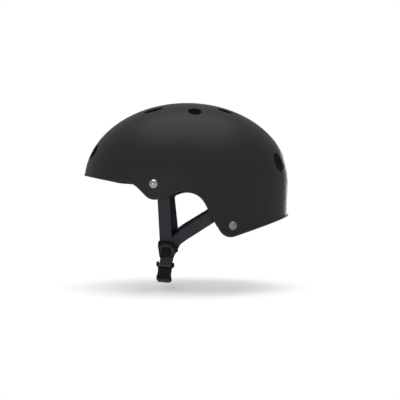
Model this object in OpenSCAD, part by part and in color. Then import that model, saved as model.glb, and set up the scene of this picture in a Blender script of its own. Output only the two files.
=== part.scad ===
// Open-face scooter helmet: hard shell, foam liner, comfort pads, V straps and a buckled chin strap.
// The front is at -X, the wearer's left at -Y and up is +Z.
// The origin is the middle of the head opening, level with the front rim.

/* [Shell] */
// Length of the shell from brim to back
shell_length = 272.6; // [260:0.2:285]
// Width of the shell across the ears
shell_width = 212; // [200:1:222]
// Height of the crown above the widest line
crown_height = 104.2; // [98:0.2:112]
// Height of the widest line
widest_z = -8.5; // [-12:0.5:-5]
// Wall of the hard shell
shell_wall = 3; // [2.5:0.25:4]
// Lean-in of the wall below the widest line, in degrees
skirt_draw = 2.2; // [0:0.1:3]

/* [Lower edge] */
// Height of the rim at the front tip
brim_z = -1.2; // [-4:0.1:1]
// Height of the rim where the brim sweeps back
brim_side_z = -9.6; // [-12:0.1:-8]
// Height of the rim at the temple
temple_z = -11.8; // [-14:0.1:-10]
// Height of the corner that rounds off in front of the ear
ear_tab_z = -36; // [-38:0.5:-34]
// Height of the corner that rounds off into the ear arch
arch_z = -14.8; // [-17:0.1:-13]
// Height of the corner that rounds off behind the ear
lobe_z = -82; // [-85:0.5:-79]
// Height of the rim at the back
back_z = -53.5; // [-56:0.5:-51]
// Fillet at the top of the ear arch
arch_r = 29.5; // [27:0.5:32]
// Fillet at the foot of the lobe behind the ear
lobe_r = 16; // [14:0.5:18]
// Height of the rubber edge trim
trim_height = 2.8; // [2.2:0.1:3.4]
// Thickness of the trim on each face of the shell
trim_lip = 0.7; // [0.5:0.1:0.9]
// Thickness of the trim under the edge of the shell
trim_base = 1; // [0.8:0.1:1.4]

/* [Vents] */
// Length of the crown vent
vent_length = 27; // [22:0.5:29]
// Width of the crown vent and of those over the ears
vent_width = 16.5; // [14:0.5:18]
// Length of the short vents over the ears
side_vent_length = 18; // [16:0.5:20]
// Length of the slanted vents before the crown
front_slot_length = 26; // [20:0.5:28]
// Length of the slanted vents behind the crown
back_slot_length = 20; // [17:0.5:22]
// Width of the slanted vents
slot_width = 12.5; // [10:0.5:15]
// Length of the vents at the front
front_vent_length = 25; // [20:0.5:28]
// Height of the vents at the front
front_vent_height = 20; // [15:0.5:22]
// Height of the vents at the back
back_vent_height = 25.5; // [20:0.5:28]
// Width of the vents at the back
back_vent_width = 20.5; // [15:0.5:22]
// How much smaller the holes in the liner are
liner_vent_step = 1.5; // [0.5:0.25:3]

/* [Liner and pads] */
// Thickness of the foam at the front and back
liner_end = 22; // [18:0.5:24]
// Thickness of the foam at the sides
liner_side = 20; // [17:0.5:22]
// Thickness of the foam at the crown
liner_top = 24; // [20:0.5:27]
// Play between the shell and the liner
liner_gap = 0.3; // [0.2:0.05:0.6]
// Thickness of a comfort pad at its middle
pad_thick = 7; // [5:0.5:9]
// Thickness of a comfort pad at its rim
pad_rim = 2; // [1.5:0.25:3]
// Thickness of a hook-and-loop patch
patch_thick = 1.2; // [0.8:0.1:1.6]
// Play on each face of a patch
patch_gap = 0.3; // [0.2:0.05:0.5]

/* [Straps] */
// Width of the webbing
strap_width = 15; // [14:0.5:16]
// Thickness of the webbing
strap_thick = 1.6; // [1.2:0.1:1.8]
// Inward lean of the straps from upright, in degrees
strap_lean = 26; // [24:0.5:28]
// Length of front strap from the shell's edge to the divider
front_strap_length = 59.7; // [56:0.5:62]
// Depth of the straps behind the inner face of the shell
strap_depth = 2.2; // [2.1:0.1:2.5]
// Play between webbing and the bar that it goes round
loop_gap = 0.3; // [0.2:0.05:0.5]
// Forward lean of the chin strap and buckle, in degrees
chin_lean = 6.5; // [3:0.5:8]
// Backward sway of the left-hand straps, in degrees
left_sway = 1.5; // [0:0.5:3]
// Backward sway of the right-hand straps, in degrees
right_sway = 6; // [3:0.5:6]
// How much higher the right-hand divider is set than the left-hand one
right_lift = 7; // [0:0.5:8]

/* [Rivets and hangers] */
// Radius of a rivet head
rivet_r = 5.2; // [4.5:0.1:5.6]
// Height of a rivet head
rivet_dome = 2.2; // [1.6:0.1:2.6]
// Radius of a rivet shank
shank_r = 2.2; // [1.8:0.1:2.6]
// Play round a rivet shank
shank_gap = 0.1; // [0.05:0.05:0.3]
// Distance of a hanger plate from the inside of the shell
hanger_standoff = 4.4; // [4.4:0.1:5]
// Thickness of a hanger plate
hanger_thick = 2; // [1.6:0.1:2.4]

/* [Divider] */
// Length of a divider
divider_length = 20.8; // [20:0.2:23]
// Thickness of a divider
divider_thick = 8.8; // [8.6:0.2:10]
// Radius of the round cam lever
lever_r = 6; // [5.5:0.1:6.4]
// Thickness of the cam lever
lever_thick = 2.3; // [2:0.1:2.6]
// Radius of the cam pin
cam_pin_r = 0.8; // [0.7:0.05:0.9]
// Running clearance round the cam pin
cam_pin_gap = 0.05; // [0.03:0.01:0.1]

/* [Buckle] */
// Distance from the divider to the bar of the socket
socket_bar_z = 14.5; // [13:0.5:16]
// Width of the buckle
buckle_width = 17.6; // [17.4:0.2:19]
// Width across the ears of the socket
socket_ears = 23; // [22:0.5:24]
// Thickness of the buckle
buckle_thick = 7.6; // [7.4:0.2:9]
// Length of the socket
socket_length = 11.5; // [11.3:0.1:12]
// Radius of the bars that carry webbing
bar_r = 1.3; // [1.2:0.05:1.4]
// Distance between the bars of the joined buckle
bar_span = 22.3; // [22.1:0.1:23]

/* [Hidden] */

half_length = shell_length / 2;
half_width = shell_width / 2;
skirt_drop = 90;
reach = 2 * shell_length;
eps = 0.01;
fit = 0.05;

// Corners of the lower edge in the side view, front to back: x, z and fillet
edge_corners = [
    [-reach / 2, brim_z + 2, 0], [-half_length, brim_z, 0], [-98, brim_side_z, 54],
    [-65.5, temple_z, 28], [-41, ear_tab_z, 16], [12, arch_z, arch_r], [47, lobe_z, lobe_r],
    [half_length, back_z, 0], [reach / 2, back_z + 30, 0]];
edge_steps = 6;

// Vents: turn from the back, tilt from upright, roll of the long axis, length and width
paired_vents = [
    [79, 33.5, 0, side_vent_length, vent_width],
    [137, 33, 48, front_slot_length, slot_width],
    [35, 34.5, -40, back_slot_length, slot_width],
    [167, 73, 90, front_vent_length, front_vent_height],
    [21.5, 79.5, -12, back_vent_height, back_vent_width]];
crown_vent = [0, 2.1, 90, vent_length, vent_width];

// Rivet places in the side view: x and z
front_rivet = [-38.8, -14];
rear_rivet = [57.5, -64.6];
// Hanger bars in each rivet's frame: along the wall, up, and turn of the strap
front_bar = [13.2, -7, -90];
rear_bar = [-11.3, 22.6, 212];
// Where the straps leave the shell in the side view: x and z
front_exit = [-26.8, -31];
rear_exit = [30.5, -54.2];

// Vector helpers
function unit(v) = v / norm(v);
function about_x(v, a) =
    [v[0], v[1] * cos(a) - v[2] * sin(a), v[1] * sin(a) + v[2] * cos(a)];
function about_y(v, a) =
    [v[0] * cos(a) + v[2] * sin(a), v[1], -v[0] * sin(a) + v[2] * cos(a)];
function about_z(v, a) =
    [v[0] * cos(a) - v[1] * sin(a), v[0] * sin(a) + v[1] * cos(a), v[2]];
function mix(a, b, t) = a + (b - a) * t;

// Points of the arc that rounds corner p between a and b
function fillet(a, p, b, r, n) =
    let(u = unit(a - p), v = unit(b - p), half = acos(u * v) / 2,
        s = u * r / tan(half), e = v * r / tan(half),
        c = unit(u + v) * r / sin(half),
        a0 = atan2(s[1] - c[1], s[0] - c[0]),
        d0 = atan2(e[1] - c[1], e[0] - c[0]) - a0,
        d = d0 > 180 ? d0 - 360 : d0 < -180 ? d0 + 360 : d0)
    [for (i = [0:n]) p + c + r * [cos(a0 + d * i / n), sin(a0 + d * i / n)]];

// An outline with rounded corners, from corners given as x, y and fillet
function rounded(corners, n, closed = true) =
    let(k = len(corners), p = [for (c = corners) [c[0], c[1]]])
    [for (i = [0:k - 1]) each
        (corners[i][2] == 0 || (!closed && (i == 0 || i == k - 1))) ? [p[i]] :
        fillet(p[(i + k - 1) % k], p[i], p[(i + 1) % k], corners[i][2], n)];

// The lower edge moved up into the shell by d
edge_base = rounded(edge_corners, edge_steps, false);
function edge_line(d) =
    let(k = len(edge_base))
    [for (i = [0:k - 1])
        let(t = unit(edge_base[min(i + 1, k - 1)] - edge_base[max(i - 1, 0)]))
        edge_base[i] + d * [-t[1], t[0]]];

// Half width of the shell at a place in the side view, a distance inside its surface
function wall_y(x, z, inset) =
    let(a = half_length - inset, b = half_width - inset, c = crown_height - inset,
        k = 1 - max(0, widest_z - z) * tan(skirt_draw) / a,
        h = max(0, z - widest_z) / c)
    b * k * sqrt(max(0, 1 - pow(x / (a * k), 2) - h * h));
wall_tilt = atan(tan(skirt_draw) * half_width / half_length);
function wall_turn(p) =
    atan2(p[0] / pow(half_length, 2), wall_y(p[0], p[1], 0) / pow(half_width, 2));

// A point in a rivet's frame: along the wall, inward from the outer face, and up
function at_rivet_point(p, q) =
    [p[0], -wall_y(p[0], p[1], 0), p[1]] + about_z(about_x(q, wall_tilt), wall_turn(p));
function at_rivet_turn(p, q) = about_z(about_x(q, wall_tilt), wall_turn(p));
// A point behind the inner face of the shell
function behind_wall(p, depth) = [p[0], -wall_y(p[0], p[1], shell_wall + depth), p[1]];
// The direction across a strap that lies on the wall and runs at an angle in the side view
function across_wall(p, a, depth) =
    unit(behind_wall(p + [cos(a + 90), sin(a + 90)], depth)
        - behind_wall(p - [cos(a + 90), sin(a + 90)], depth));

// The frame of a front strap, which starts where the strap leaves the shell. Each side has
// its sway and lift; the right-hand pieces are made on the left and mirrored.
left = [left_sway, 0];
right = [right_sway, right_lift];
strap_start = behind_wall(front_exit, strap_depth);
function turn_strap(q, side) = about_x(about_y(q, -side[0]), strap_lean);
function on_strap(q, side) = strap_start + turn_strap(q, side);
function on_divider(q, side) = on_strap(q + [0, 0, side[1]], side);
function mirrored(q) = [q[0], -q[1], q[2]];
divider_end = front_strap_length + divider_length;
chin_start = divider_end - 1.5;
// The frame of the left chin strap, which starts just inside the divider's lower end
function on_chin(q) = on_strap([0, 0, -chin_start] + about_y(q, chin_lean + left_sway), left);
function chin_turn(q) = turn_strap(about_y(q, chin_lean + left_sway), left);

module in_divider(side) {
    translate(strap_start) rotate([strap_lean, 0, 0]) rotate([0, -side[0], 0])
        translate([0, 0, side[1]]) children();
}
module in_chin() {
    in_divider(left) translate([0, 0, -chin_start]) rotate([0, chin_lean + left_sway, 0])
        children();
}
module at_rivet(p) {
    translate([p[0], -wall_y(p[0], p[1], 0), p[1]])
        rotate([0, 0, wall_turn(p)]) rotate([wall_tilt, 0, 0]) children();
}
module both_sides() {
    children();
    mirror([0, 1, 0]) children();
}
// A flat outline in the x and z of a frame, as thick as given about y
module slab(outline, thick, middle = 0) {
    translate([0, middle + thick / 2, 0]) rotate([90, 0, 0])
        linear_extrude(thick) polygon(outline);
}
// A box given by its low and high corners
module block(low, high) {
    translate(low) cube(high - low);
}
module rod_x(r, length) {
    rotate([0, 90, 0]) cylinder(h = length, r = r, center = true, $fn = 40);
}
module rod_y(r, length) {
    rotate([90, 0, 0]) cylinder(h = length, r = r, center = true, $fn = 40);
}

// Webbing along points, each with the direction across it
module ribbon(points, across, width, thick) {
    k = len(points);
    rings = [for (i = [0:k - 1])
        let(t = unit(points[min(i + 1, k - 1)] - points[max(i - 1, 0)]),
            w = unit(across[i] - (across[i] * t) * t) * width / 2,
            n = unit(cross(t, w)) * thick / 2)
        each [points[i] - w - n, points[i] + w - n, points[i] + w + n, points[i] - w + n]];
    sides = [for (i = [0:k - 2]) for (j = [0:3])
        let(a = 4 * i + j, b = 4 * i + (j + 1) % 4) each [[a, b, b + 4], [a, b + 4, a + 4]]];
    ends = [[0, 2, 1], [0, 3, 2],
        [4 * k - 4, 4 * k - 3, 4 * k - 2], [4 * k - 4, 4 * k - 2, 4 * k - 1]];
    polyhedron(rings, [for (f = concat(sides, ends)) [f[0], f[2], f[1]]], convexity = 6);
}

// The closed bowl inside which the shell or liner is cut, with semi-axes a, b and c
module bowl(a, b, c) {
    translate([0, 0, widest_z]) {
        intersection() {
            scale([a, b, c]) rotate([90, 0, 0]) sphere(r = 1, $fn = 96);
            block([-reach, -reach, 0], [reach, reach, reach]);
        }
        translate([0, 0, -skirt_drop]) scale([a, b, 1])
            cylinder(h = skirt_drop, r1 = 1 - skirt_drop * tan(skirt_draw) / a, r2 = 1,
                $fn = 96);
    }
}
module dome(inset) {
    bowl(half_length - inset, half_width - inset, crown_height - inset);
}
// All that lies above the lower edge, moved up by d
module above_edge(d) {
    rotate([90, 0, 0]) linear_extrude(2 * shell_width, center = true)
        polygon(concat(edge_line(d), [[reach / 2, reach], [-reach / 2, reach]]));
}
module vent_cut(v, side, step) {
    translate([0, 0, widest_z]) rotate([0, 0, side * v[0]]) rotate([0, v[1], 0])
        rotate([0, 0, side * v[2]]) translate([0, 0, crown_height / 2])
        scale([(v[3] - step) / (v[4] - step), 1, 1])
        cylinder(h = crown_height, r = (v[4] - step) / 2, $fn = 48);
}
module vent_cuts(step) {
    for (v = paired_vents) {
        vent_cut(v, 1, step);
        vent_cut(v, -1, step);
    }
    vent_cut(crown_vent, 1, step);
}

module outer_shell() {
    color("#2b2b2d") difference() {
        intersection() {
            dome(0);
            above_edge(trim_base + fit);
        }
        dome(shell_wall);
        vent_cuts(0);
        both_sides() {
            for (p = [front_rivet, rear_rivet])
                at_rivet(p) rod_y(shank_r + shank_gap, 4 * shell_wall);
        }
    }
}

// Stations of the trim along the lower edge: straight sections across the middle of each
// side, then sections at equal turns round the front and the back
trim_turn = 2.5;
trim_step = 4;
trim_lines = [edge_line(0), edge_line(trim_base), edge_line(trim_height)];
side_first = 2;
side_last = len(edge_base) - 4;
side_stations = [for (i = [side_first:side_last - 1])
    let(n = max(1, ceil((edge_base[i + 1][0] - edge_base[i][0]) / trim_step)))
    each [for (j = [0:n - 1]) [for (l = trim_lines) mix(l[i], l[i + 1], j / n)]]];
trim_levels = [[0, -trim_lip], [2, -trim_lip], [2, -fit], [1, -fit],
    [1, shell_wall + fit], [2, shell_wall + fit], [2, shell_wall + trim_lip],
    [0, shell_wall + trim_lip]];
function side_section(st) = [for (q = trim_levels)
    [st[q[0]][0], wall_y(st[q[0]][0], st[q[0]][1], q[1]), st[q[0]][1]]];
function plan_scale(z, inset) =
    z < widest_z ? 1 - (widest_z - z) * tan(skirt_draw) / (half_length - inset) :
    sqrt(1 - pow((z - widest_z) / (crown_height - inset), 2));
function turn_x(turn, inset, line, k = 1, left = 3) =
    let(x = (half_length - inset) * k * cos(turn))
    left == 0 ? x : turn_x(turn, inset, line, plan_scale(lookup(x, line), inset), left - 1);
function turn_section(turn) = [for (q = trim_levels)
    let(line = trim_lines[q[0]], x = turn_x(turn, q[1], line), z = lookup(x, line))
    [x, (half_width - q[1]) * plan_scale(z, q[1]) * sin(turn), z]];
function turn_of(p) = acos(p[0] / (half_length * plan_scale(p[1], 0)));
front_turns = 180 - turn_of(edge_base[side_first]);
back_turns = turn_of(edge_base[side_last]);
front_count = ceil(front_turns / trim_turn);
back_count = ceil(back_turns / trim_turn);
trim_half = concat(
    [for (i = [0:front_count - 1]) turn_section(180 - front_turns * i / front_count)],
    [for (st = side_stations) side_section(st)],
    [for (i = [0:back_count]) turn_section(back_turns * (1 - i / back_count))]);
module edge_trim() {
    n = len(trim_half);
    m = len(trim_levels);
    rings = concat(trim_half,
        [for (i = [n - 2:-1:1]) [for (p = trim_half[i]) [p[0], -p[1], p[2]]]]);
    k = len(rings);
    color("#1b1b1c") polyhedron([for (r = rings) each r],
        [for (i = [0:k - 1]) for (j = [0:m - 1])
            let(a = m * i + j, b = m * i + (j + 1) % m,
                c = m * ((i + 1) % k) + (j + 1) % m, d = m * ((i + 1) % k) + j)
            each [[a, b, c], [a, c, d]]], convexity = 10);
}

liner_outer = shell_wall + liner_gap;
cavity_a = half_length - liner_outer - liner_end;
cavity_b = half_width - liner_outer - liner_side;
cavity_c = crown_height - liner_outer - liner_top;
liner_edge = trim_height + 0.6;
bar_depth = shell_wall + hanger_standoff + hanger_thick / 2;
loop_r = hanger_thick / 2 + loop_gap + strap_thick / 2;
pocket_depth = bar_depth + loop_r + strap_thick / 2 + 0.5;
pocket_side = strap_width / 2 + 2.8;
slot_side = strap_width / 2 + 0.6;
hanger_rail = 2.4;
hanger_foot = 7;
pocket_play = 0.8;

// Room in the liner for a hanger and its strap, in the frame of a rivet
module strap_pocket(p, bar, down) {
    e = [cos(bar[2]), sin(bar[2])];
    w = [-e[1], e[0]];
    c = [bar[0], bar[1]];
    wide = slot_side + hanger_rail + pocket_play;
    neck = unit(c - 5 * e);
    side = [-neck[1], neck[0]] * (hanger_foot + pocket_play);
    at_rivet(p) rotate([90, 0, 0]) linear_extrude(2 * pocket_depth, center = true) {
        circle(hanger_foot + pocket_play, $fn = 48);
        polygon([side, c - 5 * e + side, c - 5 * e - side, -side]);
        polygon([c - 7.2 * e + wide * w, c + 2.4 * e + wide * w, c + 2.4 * e + pocket_side * w,
            c + down * e + pocket_side * w, c + down * e - pocket_side * w,
            c + 2.4 * e - pocket_side * w, c + 2.4 * e - wide * w, c - 7.2 * e - wide * w]);
    }
}
module foam_liner() {
    color("#3a3a3c") difference() {
        intersection() {
            dome(liner_outer);
            above_edge(liner_edge);
        }
        bowl(cavity_a, cavity_b, cavity_c);
        vent_cuts(liner_vent_step);
        both_sides() {
            strap_pocket(front_rivet, front_bar, 30);
            strap_pocket(rear_rivet, rear_bar, 45);
        }
    }
}

// A point on the liner's inner face: turn from the back, tilt from upright and inset.
// Past the widest line the tilt goes on as a straight drop.
drop_per_degree = 1.6;
function cavity_point(turn, tilt, inset) =
    let(t = min(tilt, 90), drop = max(0, tilt - 90) * drop_per_degree,
        k = sin(t) * (1 - drop * tan(skirt_draw) / cavity_a))
    [(cavity_a - inset) * k * cos(turn), (cavity_b - inset) * k * sin(turn),
        widest_z + (cavity_c - inset) * cos(t) - drop];
pad_base = 2 * patch_gap + patch_thick;

// A crowned cushion over a patch of the liner's inner face, n by m cells.
// A cushion that goes all the way round has no ends.
module cushion(turns, tilts, thick, rim, base, n, m, whole = false) {
    k = m + 1;
    rows = whole ? n - 1 : n;
    function crown(i, j) =
        let(u = whole ? 0 : abs(2 * i / n - 1), v = abs(2 * j / m - 1))
        rim + (thick - rim) * sqrt((1 - pow(u, 4)) * (1 - pow(v, 3)));
    function at(i, j, inset) =
        cavity_point(mix(turns[0], turns[1], i / n), mix(tilts[0], tilts[1], j / m), inset);
    back = [for (i = [0:rows]) for (j = [0:m]) at(i, j, base)];
    front = [for (i = [0:rows]) for (j = [0:m]) at(i, j, base + crown(i, j))];
    q = len(back);
    function id(i, j) = (i % (rows + 1)) * k + j;
    skin = [for (i = [0:n - 1]) for (j = [0:m - 1])
        let(a = id(i, j), b = id(i + 1, j), c = id(i + 1, j + 1), d = id(i, j + 1))
        each [[a, b, c], [a, c, d], [q + a, q + c, q + b], [q + a, q + d, q + c]]];
    long_rims = [for (i = [0:n - 1])
        let(a = id(i, 0), b = id(i + 1, 0), c = id(i, m), d = id(i + 1, m))
        each [[a, q + a, q + b], [a, q + b, b], [c, q + d, q + c], [c, d, q + d]]];
    end_rims = whole ? [] : [for (j = [0:m - 1])
        let(a = id(0, j), b = id(0, j + 1), c = id(n, j), d = id(n, j + 1))
        each [[a, q + b, q + a], [a, b, q + b], [c, q + c, q + d], [c, q + d, d]]];
    polyhedron(concat(back, front), [for (f = concat(skin, long_rims, end_rims))
        [f[0], f[2], f[1]]], convexity = 8);
}

brow_span = [[130, 230], [56, 78]];
crown_span = [[0, 360], [13, 25]];
side_span = [[66, 114], [62, 89]];
rear_span = [[-34, 34], [84, 104]];
module brow_pad() {
    color("#232427") cushion(brow_span[0], brow_span[1], pad_thick, pad_rim, pad_base, 24, 8);
}
module crown_pad() {
    color("#232427")
        cushion(crown_span[0], crown_span[1], pad_thick, pad_rim, pad_base, 36, 6, true);
}
module side_pad_left() {
    color("#232427") mirror([0, 1, 0])
        cushion(side_span[0], side_span[1], pad_thick, pad_rim, pad_base, 14, 8);
}
module side_pad_right() {
    color("#232427") cushion(side_span[0], side_span[1], pad_thick, pad_rim, pad_base, 14, 8);
}
module rear_pad() {
    color("#232427") cushion(rear_span[0], rear_span[1], pad_thick, pad_rim, pad_base, 20, 8);
}
// Patches: turn and tilt of each one's middle, and half its spread each way
patches = [
    [150, 67, 9, 5], [180, 67, 9, 5], [210, 67, 9, 5],
    [90, 76, 9, 6], [-90, 76, 9, 6],
    [-17, 93, 7, 5], [17, 93, 7, 5],
    [0, 19, 22, 4], [180, 19, 22, 4]];
module pad_patches() {
    color("#111113") for (p = patches)
        cushion([p[0] - p[2], p[0] + p[2]], [p[1] - p[3], p[1] + p[3]],
            patch_thick, patch_thick, patch_gap, 6, 4);
}

rivet_ball = (pow(rivet_r, 2) + pow(rivet_dome, 2)) / (2 * rivet_dome);
rivet_seat = 0.2;
washer_thick = 1;
washer_depth = shell_wall + hanger_standoff + hanger_thick;
// A domed rivet: head outside, shank through the shell, and a spread tail inside
module rivet() {
    rotate([90, 0, 0]) {
        intersection() {
            translate([0, 0, rivet_seat + rivet_dome - rivet_ball])
                sphere(r = rivet_ball, $fn = 64);
            translate([0, 0, rivet_seat]) cylinder(h = rivet_dome, r = rivet_r, $fn = 64);
        }
        translate([0, 0, -washer_depth - washer_thick - 1])
            cylinder(h = washer_depth + washer_thick + 1 + rivet_seat + eps, r = shank_r,
                $fn = 40);
        translate([0, 0, -washer_depth - washer_thick - 1])
            cylinder(h = 1, r = shank_r + 1.2, $fn = 40);
    }
}
module rivets() {
    color("#b9bcbf") both_sides() {
        for (p = [front_rivet, rear_rivet]) at_rivet(p) rivet();
    }
}
module rivet_washers() {
    color("#9a9da0") both_sides() {
        for (p = [front_rivet, rear_rivet])
            at_rivet(p) rotate([-90, 0, 0]) translate([0, 0, washer_depth]) difference() {
                cylinder(h = washer_thick, r = rivet_r, $fn = 48);
                translate([0, 0, -1])
                    cylinder(h = washer_thick + 2, r = shank_r + shank_gap, $fn = 40);
            }
    }
}

// A moulded hanger: a boss on the shell, a plate and a round bar for the webbing
hanger_bar_r = hanger_thick / 2 - 0.1;
hanger_neck = 5.5;
module hanger(p, bar) {
    e = [cos(bar[2]), sin(bar[2])];
    w = [-e[1], e[0]];
    c = [bar[0], bar[1]];
    outer = slot_side + hanger_rail;
    outline = [c + 1.2 * e + outer * w, c - 6.2 * e + outer * w,
        c - 6.2 * e - outer * w, c + 1.2 * e - outer * w];
    neck = unit(c - 5 * e);
    side = [-neck[1], neck[0]] * hanger_neck;
    color("#1d1d1f") at_rivet(p) {
        difference() {
            union() {
                rotate([-90, 0, 0]) translate([0, 0, shell_wall + 0.3])
                    cylinder(h = hanger_standoff - 0.3 + hanger_thick / 2, r = rivet_r, $fn = 48);
                rotate([-90, 0, 0]) translate([0, 0, shell_wall + hanger_standoff])
                    cylinder(h = hanger_thick, r = hanger_foot, $fn = 48);
                slab(outline, hanger_thick, bar_depth);
                slab([side, c - 5 * e + side, c - 5 * e - side, -side], hanger_thick, bar_depth);
            }
            rod_y(shank_r + shank_gap, 6 * bar_depth);
            slab([c + 5 * e + slot_side * w, c - 3.6 * e + slot_side * w,
                c - 3.6 * e - slot_side * w, c + 5 * e - slot_side * w], 3 * hanger_thick, bar_depth);
        }
        translate([c[0], bar_depth, c[1]]) rotate([0, -bar[2], 0])
            cylinder(h = 2 * slot_side + hanger_rail, r = hanger_bar_r, center = true, $fn = 32);
    }
}
module front_hanger_left() { hanger(front_rivet, front_bar); }
module front_hanger_right() { mirror([0, 1, 0]) hanger(front_rivet, front_bar); }
module rear_hanger_left() { hanger(rear_rivet, rear_bar); }
module rear_hanger_right() { mirror([0, 1, 0]) hanger(rear_rivet, rear_bar); }

// The webbing's way round a hanger bar, from the sewn tail to the outer layer
loop_tail = 5.5;
function hanger_loop(p, bar) =
    let(e = [cos(bar[2]), 0, sin(bar[2])], c = [bar[0], bar_depth, bar[1]], d = [0, 1, 0])
    [for (q = concat(
            [c + loop_tail * e + 0.7 * loop_r * d, c + 0.5 * loop_tail * e + 0.9 * loop_r * d],
            [for (a = [90:-30:-90]) c + loop_r * (sin(a) * d - cos(a) * e)],
            [c + 0.4 * loop_tail * e - loop_r * d]))
        at_rivet_point(p, q)];
function hanger_across(p, bar) = at_rivet_turn(p, [cos(bar[2] + 90), 0, sin(bar[2] + 90)]);

front_inside = [for (z = [front_exit[1] + 3, front_exit[1]])
    behind_wall([front_exit[0], z], strap_depth)];
// The front strap ends this far inside the divider
strap_tuck = 9.5;
module front_strap(side) {
    length = front_strap_length - side[1];
    places = concat([for (s = [0.07, 0.31, 0.62, 1]) s * length], [length + strap_tuck]);
    loop = hanger_loop(front_rivet, front_bar);
    across_hanger = hanger_across(front_rivet, front_bar);
    across_exit = across_wall(front_exit, -90, strap_depth);
    across_end = turn_strap([1, 0, 0], side);
    color("#30343b") ribbon(
        concat(loop, front_inside, [for (z = places) on_strap([0, 0, -z], side)]),
        concat([for (q = loop) across_hanger], [across_exit, across_exit],
            [for (z = places) mix(across_exit, across_end, min(1, z / length))]),
        strap_width, strap_thick);
}
module front_strap_left() { front_strap(left); }
module front_strap_right() { mirror([0, 1, 0]) front_strap(right); }

// The rear strap meets the divider at this angle, in a slot behind the front strap
rear_layer = 2.2;
rear_flat = 14;
rear_tuck = 7;
rear_entry = [8, rear_layer, -front_strap_length - 5.3];
rear_start = behind_wall(rear_exit, strap_depth);
rear_local = about_x(rear_start - strap_start, -strap_lean);
// Its direction in the divider's frame, on each side
function rear_angle(side) =
    let(end = about_y(rear_local, side[0]) - [0, 0, side[1]] - rear_entry) atan2(end[2], end[0]);
module rear_strap(side) {
    angle = rear_angle(side);
    step = [cos(angle), 0, sin(angle)];
    entry = on_divider(rear_entry, side);
    slope = atan2(rear_exit[1] - entry[2], rear_exit[0] - entry[0]);
    loop = hanger_loop(rear_rivet, rear_bar);
    across_hanger = hanger_across(rear_rivet, rear_bar);
    across_exit = -across_wall(rear_exit, slope, strap_depth);
    across_entry = turn_strap([sin(angle), 0, -cos(angle)], side);
    inside = [for (t = [0.42, 0.21]) behind_wall(
        mix(rear_exit, rear_rivet + [rear_bar[0] * cos(wall_turn(rear_rivet)), rear_bar[1]], t),
        strap_depth)];
    flat_end = on_divider(rear_entry + rear_flat * step, side);
    outside = [for (t = [0, 0.25, 0.5, 0.75, 1]) mix(rear_start, flat_end, t)];
    color("#30343b") ribbon(
        concat(loop, inside, outside,
            [entry, on_divider(rear_entry - rear_tuck * step, side)]),
        concat([for (q = loop) across_hanger],
            [mix(across_hanger, across_exit, 0.5), mix(across_hanger, across_exit, 0.8)],
            [for (t = [0, 0.25, 0.5, 0.75, 1, 1, 1]) mix(across_exit, across_entry, t)]),
        strap_width, strap_thick);
}
module rear_strap_left() { rear_strap(left); }
module rear_strap_right() { mirror([0, 1, 0]) rear_strap(right); }

// The divider, in the frame of the front strap
divider_half = strap_width / 2 + 1.2;
divider_top = -front_strap_length;
divider_low = -divider_end;
divider_outline = rounded([
    [-divider_half - 1.2, divider_top - 2.4, 1.5], [-4, divider_top + 0.4, 8],
    [5, divider_top + 0.2, 9], [divider_half + 7.4, divider_top - 11.4, 2],
    [divider_half + 1.6, divider_top - 16.6, 5], [divider_half, divider_low, 1.5],
    [-divider_half + 0.2, divider_low, 1.5]], 5);
// The dish round the lever
dish_r = 11.2;
dish_depth = 0.5;
dish_rim = 1.5;
dish_outline = [[-divider_half - 1.2 + dish_rim, divider_top - 2.4 - dish_rim],
    [0, divider_top], [divider_half + 5.4, divider_top - 12],
    [divider_half - 0.2, divider_top - 16.8], [divider_half - dish_rim, divider_low + dish_rim],
    [-divider_half + dish_rim, divider_low + dish_rim]];
slot_half = strap_thick / 2 + 0.35;
lever_z = divider_top - 8.4;
lever_y = -2.9;
barrel_r = 1.5;
barrel_half = 5;
pin_half = 7.4;
lever_drop = lever_r - 0.4;
lever_gap = 0.35;
module divider(side) {
    color("#1a1a1c") in_divider(side) difference() {
        slab(divider_outline, divider_thick);
        block([-strap_width / 2 - 0.3, -slot_half, divider_low - 1],
            [strap_width / 2 + 0.3, slot_half, divider_top + 1]);
        translate(rear_entry) rotate([0, -rear_angle(side), 0])
            block([-rear_tuck - 2, -slot_half, -strap_width / 2 - 0.4],
                [3 * divider_half, slot_half, strap_width / 2 + 0.4]);
        intersection() {
            translate([0, -divider_thick / 2, lever_z - lever_drop]) rod_y(dish_r, 2 * dish_depth);
            slab(dish_outline, 2 * divider_thick);
        }
        translate([0, -divider_thick / 2, lever_z - lever_drop])
            rod_y(lever_r + lever_gap, 2 * lever_thick + 0.4);
        block([-barrel_half - lever_gap, -divider_thick, lever_z - 2.2],
            [barrel_half + lever_gap, lever_y + barrel_r + 0.2, lever_z + 1.9]);
        translate([0, lever_y, lever_z]) rod_x(cam_pin_r, 2 * pin_half);
    }
}
module divider_left() { divider(left); }
module divider_right() { mirror([0, 1, 0]) divider(right); }

module cam_lever(side) {
    color("#121214") in_divider(side) difference() {
        union() {
            intersection() {
                translate([0, -divider_thick / 2 + lever_thick / 2 - 0.5, lever_z - lever_drop])
                    rod_y(lever_r, lever_thick);
                block([-lever_r, -divider_thick, lever_z - 2 * lever_r - 1],
                    [lever_r, divider_thick, lever_z]);
            }
            translate([0, lever_y, lever_z]) rod_x(barrel_r, 2 * barrel_half);
        }
        translate([0, lever_y, lever_z]) rod_x(cam_pin_r + cam_pin_gap, 3 * barrel_half);
    }
}
module cam_lever_left() { cam_lever(left); }
module cam_lever_right() { mirror([0, 1, 0]) cam_lever(right); }
module cam_pin(side) {
    color("#8d9093") in_divider(side) translate([0, lever_y, lever_z])
        rod_x(cam_pin_r, 2 * pin_half);
}
module cam_pin_left() { cam_pin(left); }
module cam_pin_right() { mirror([0, 1, 0]) cam_pin(right); }

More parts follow.
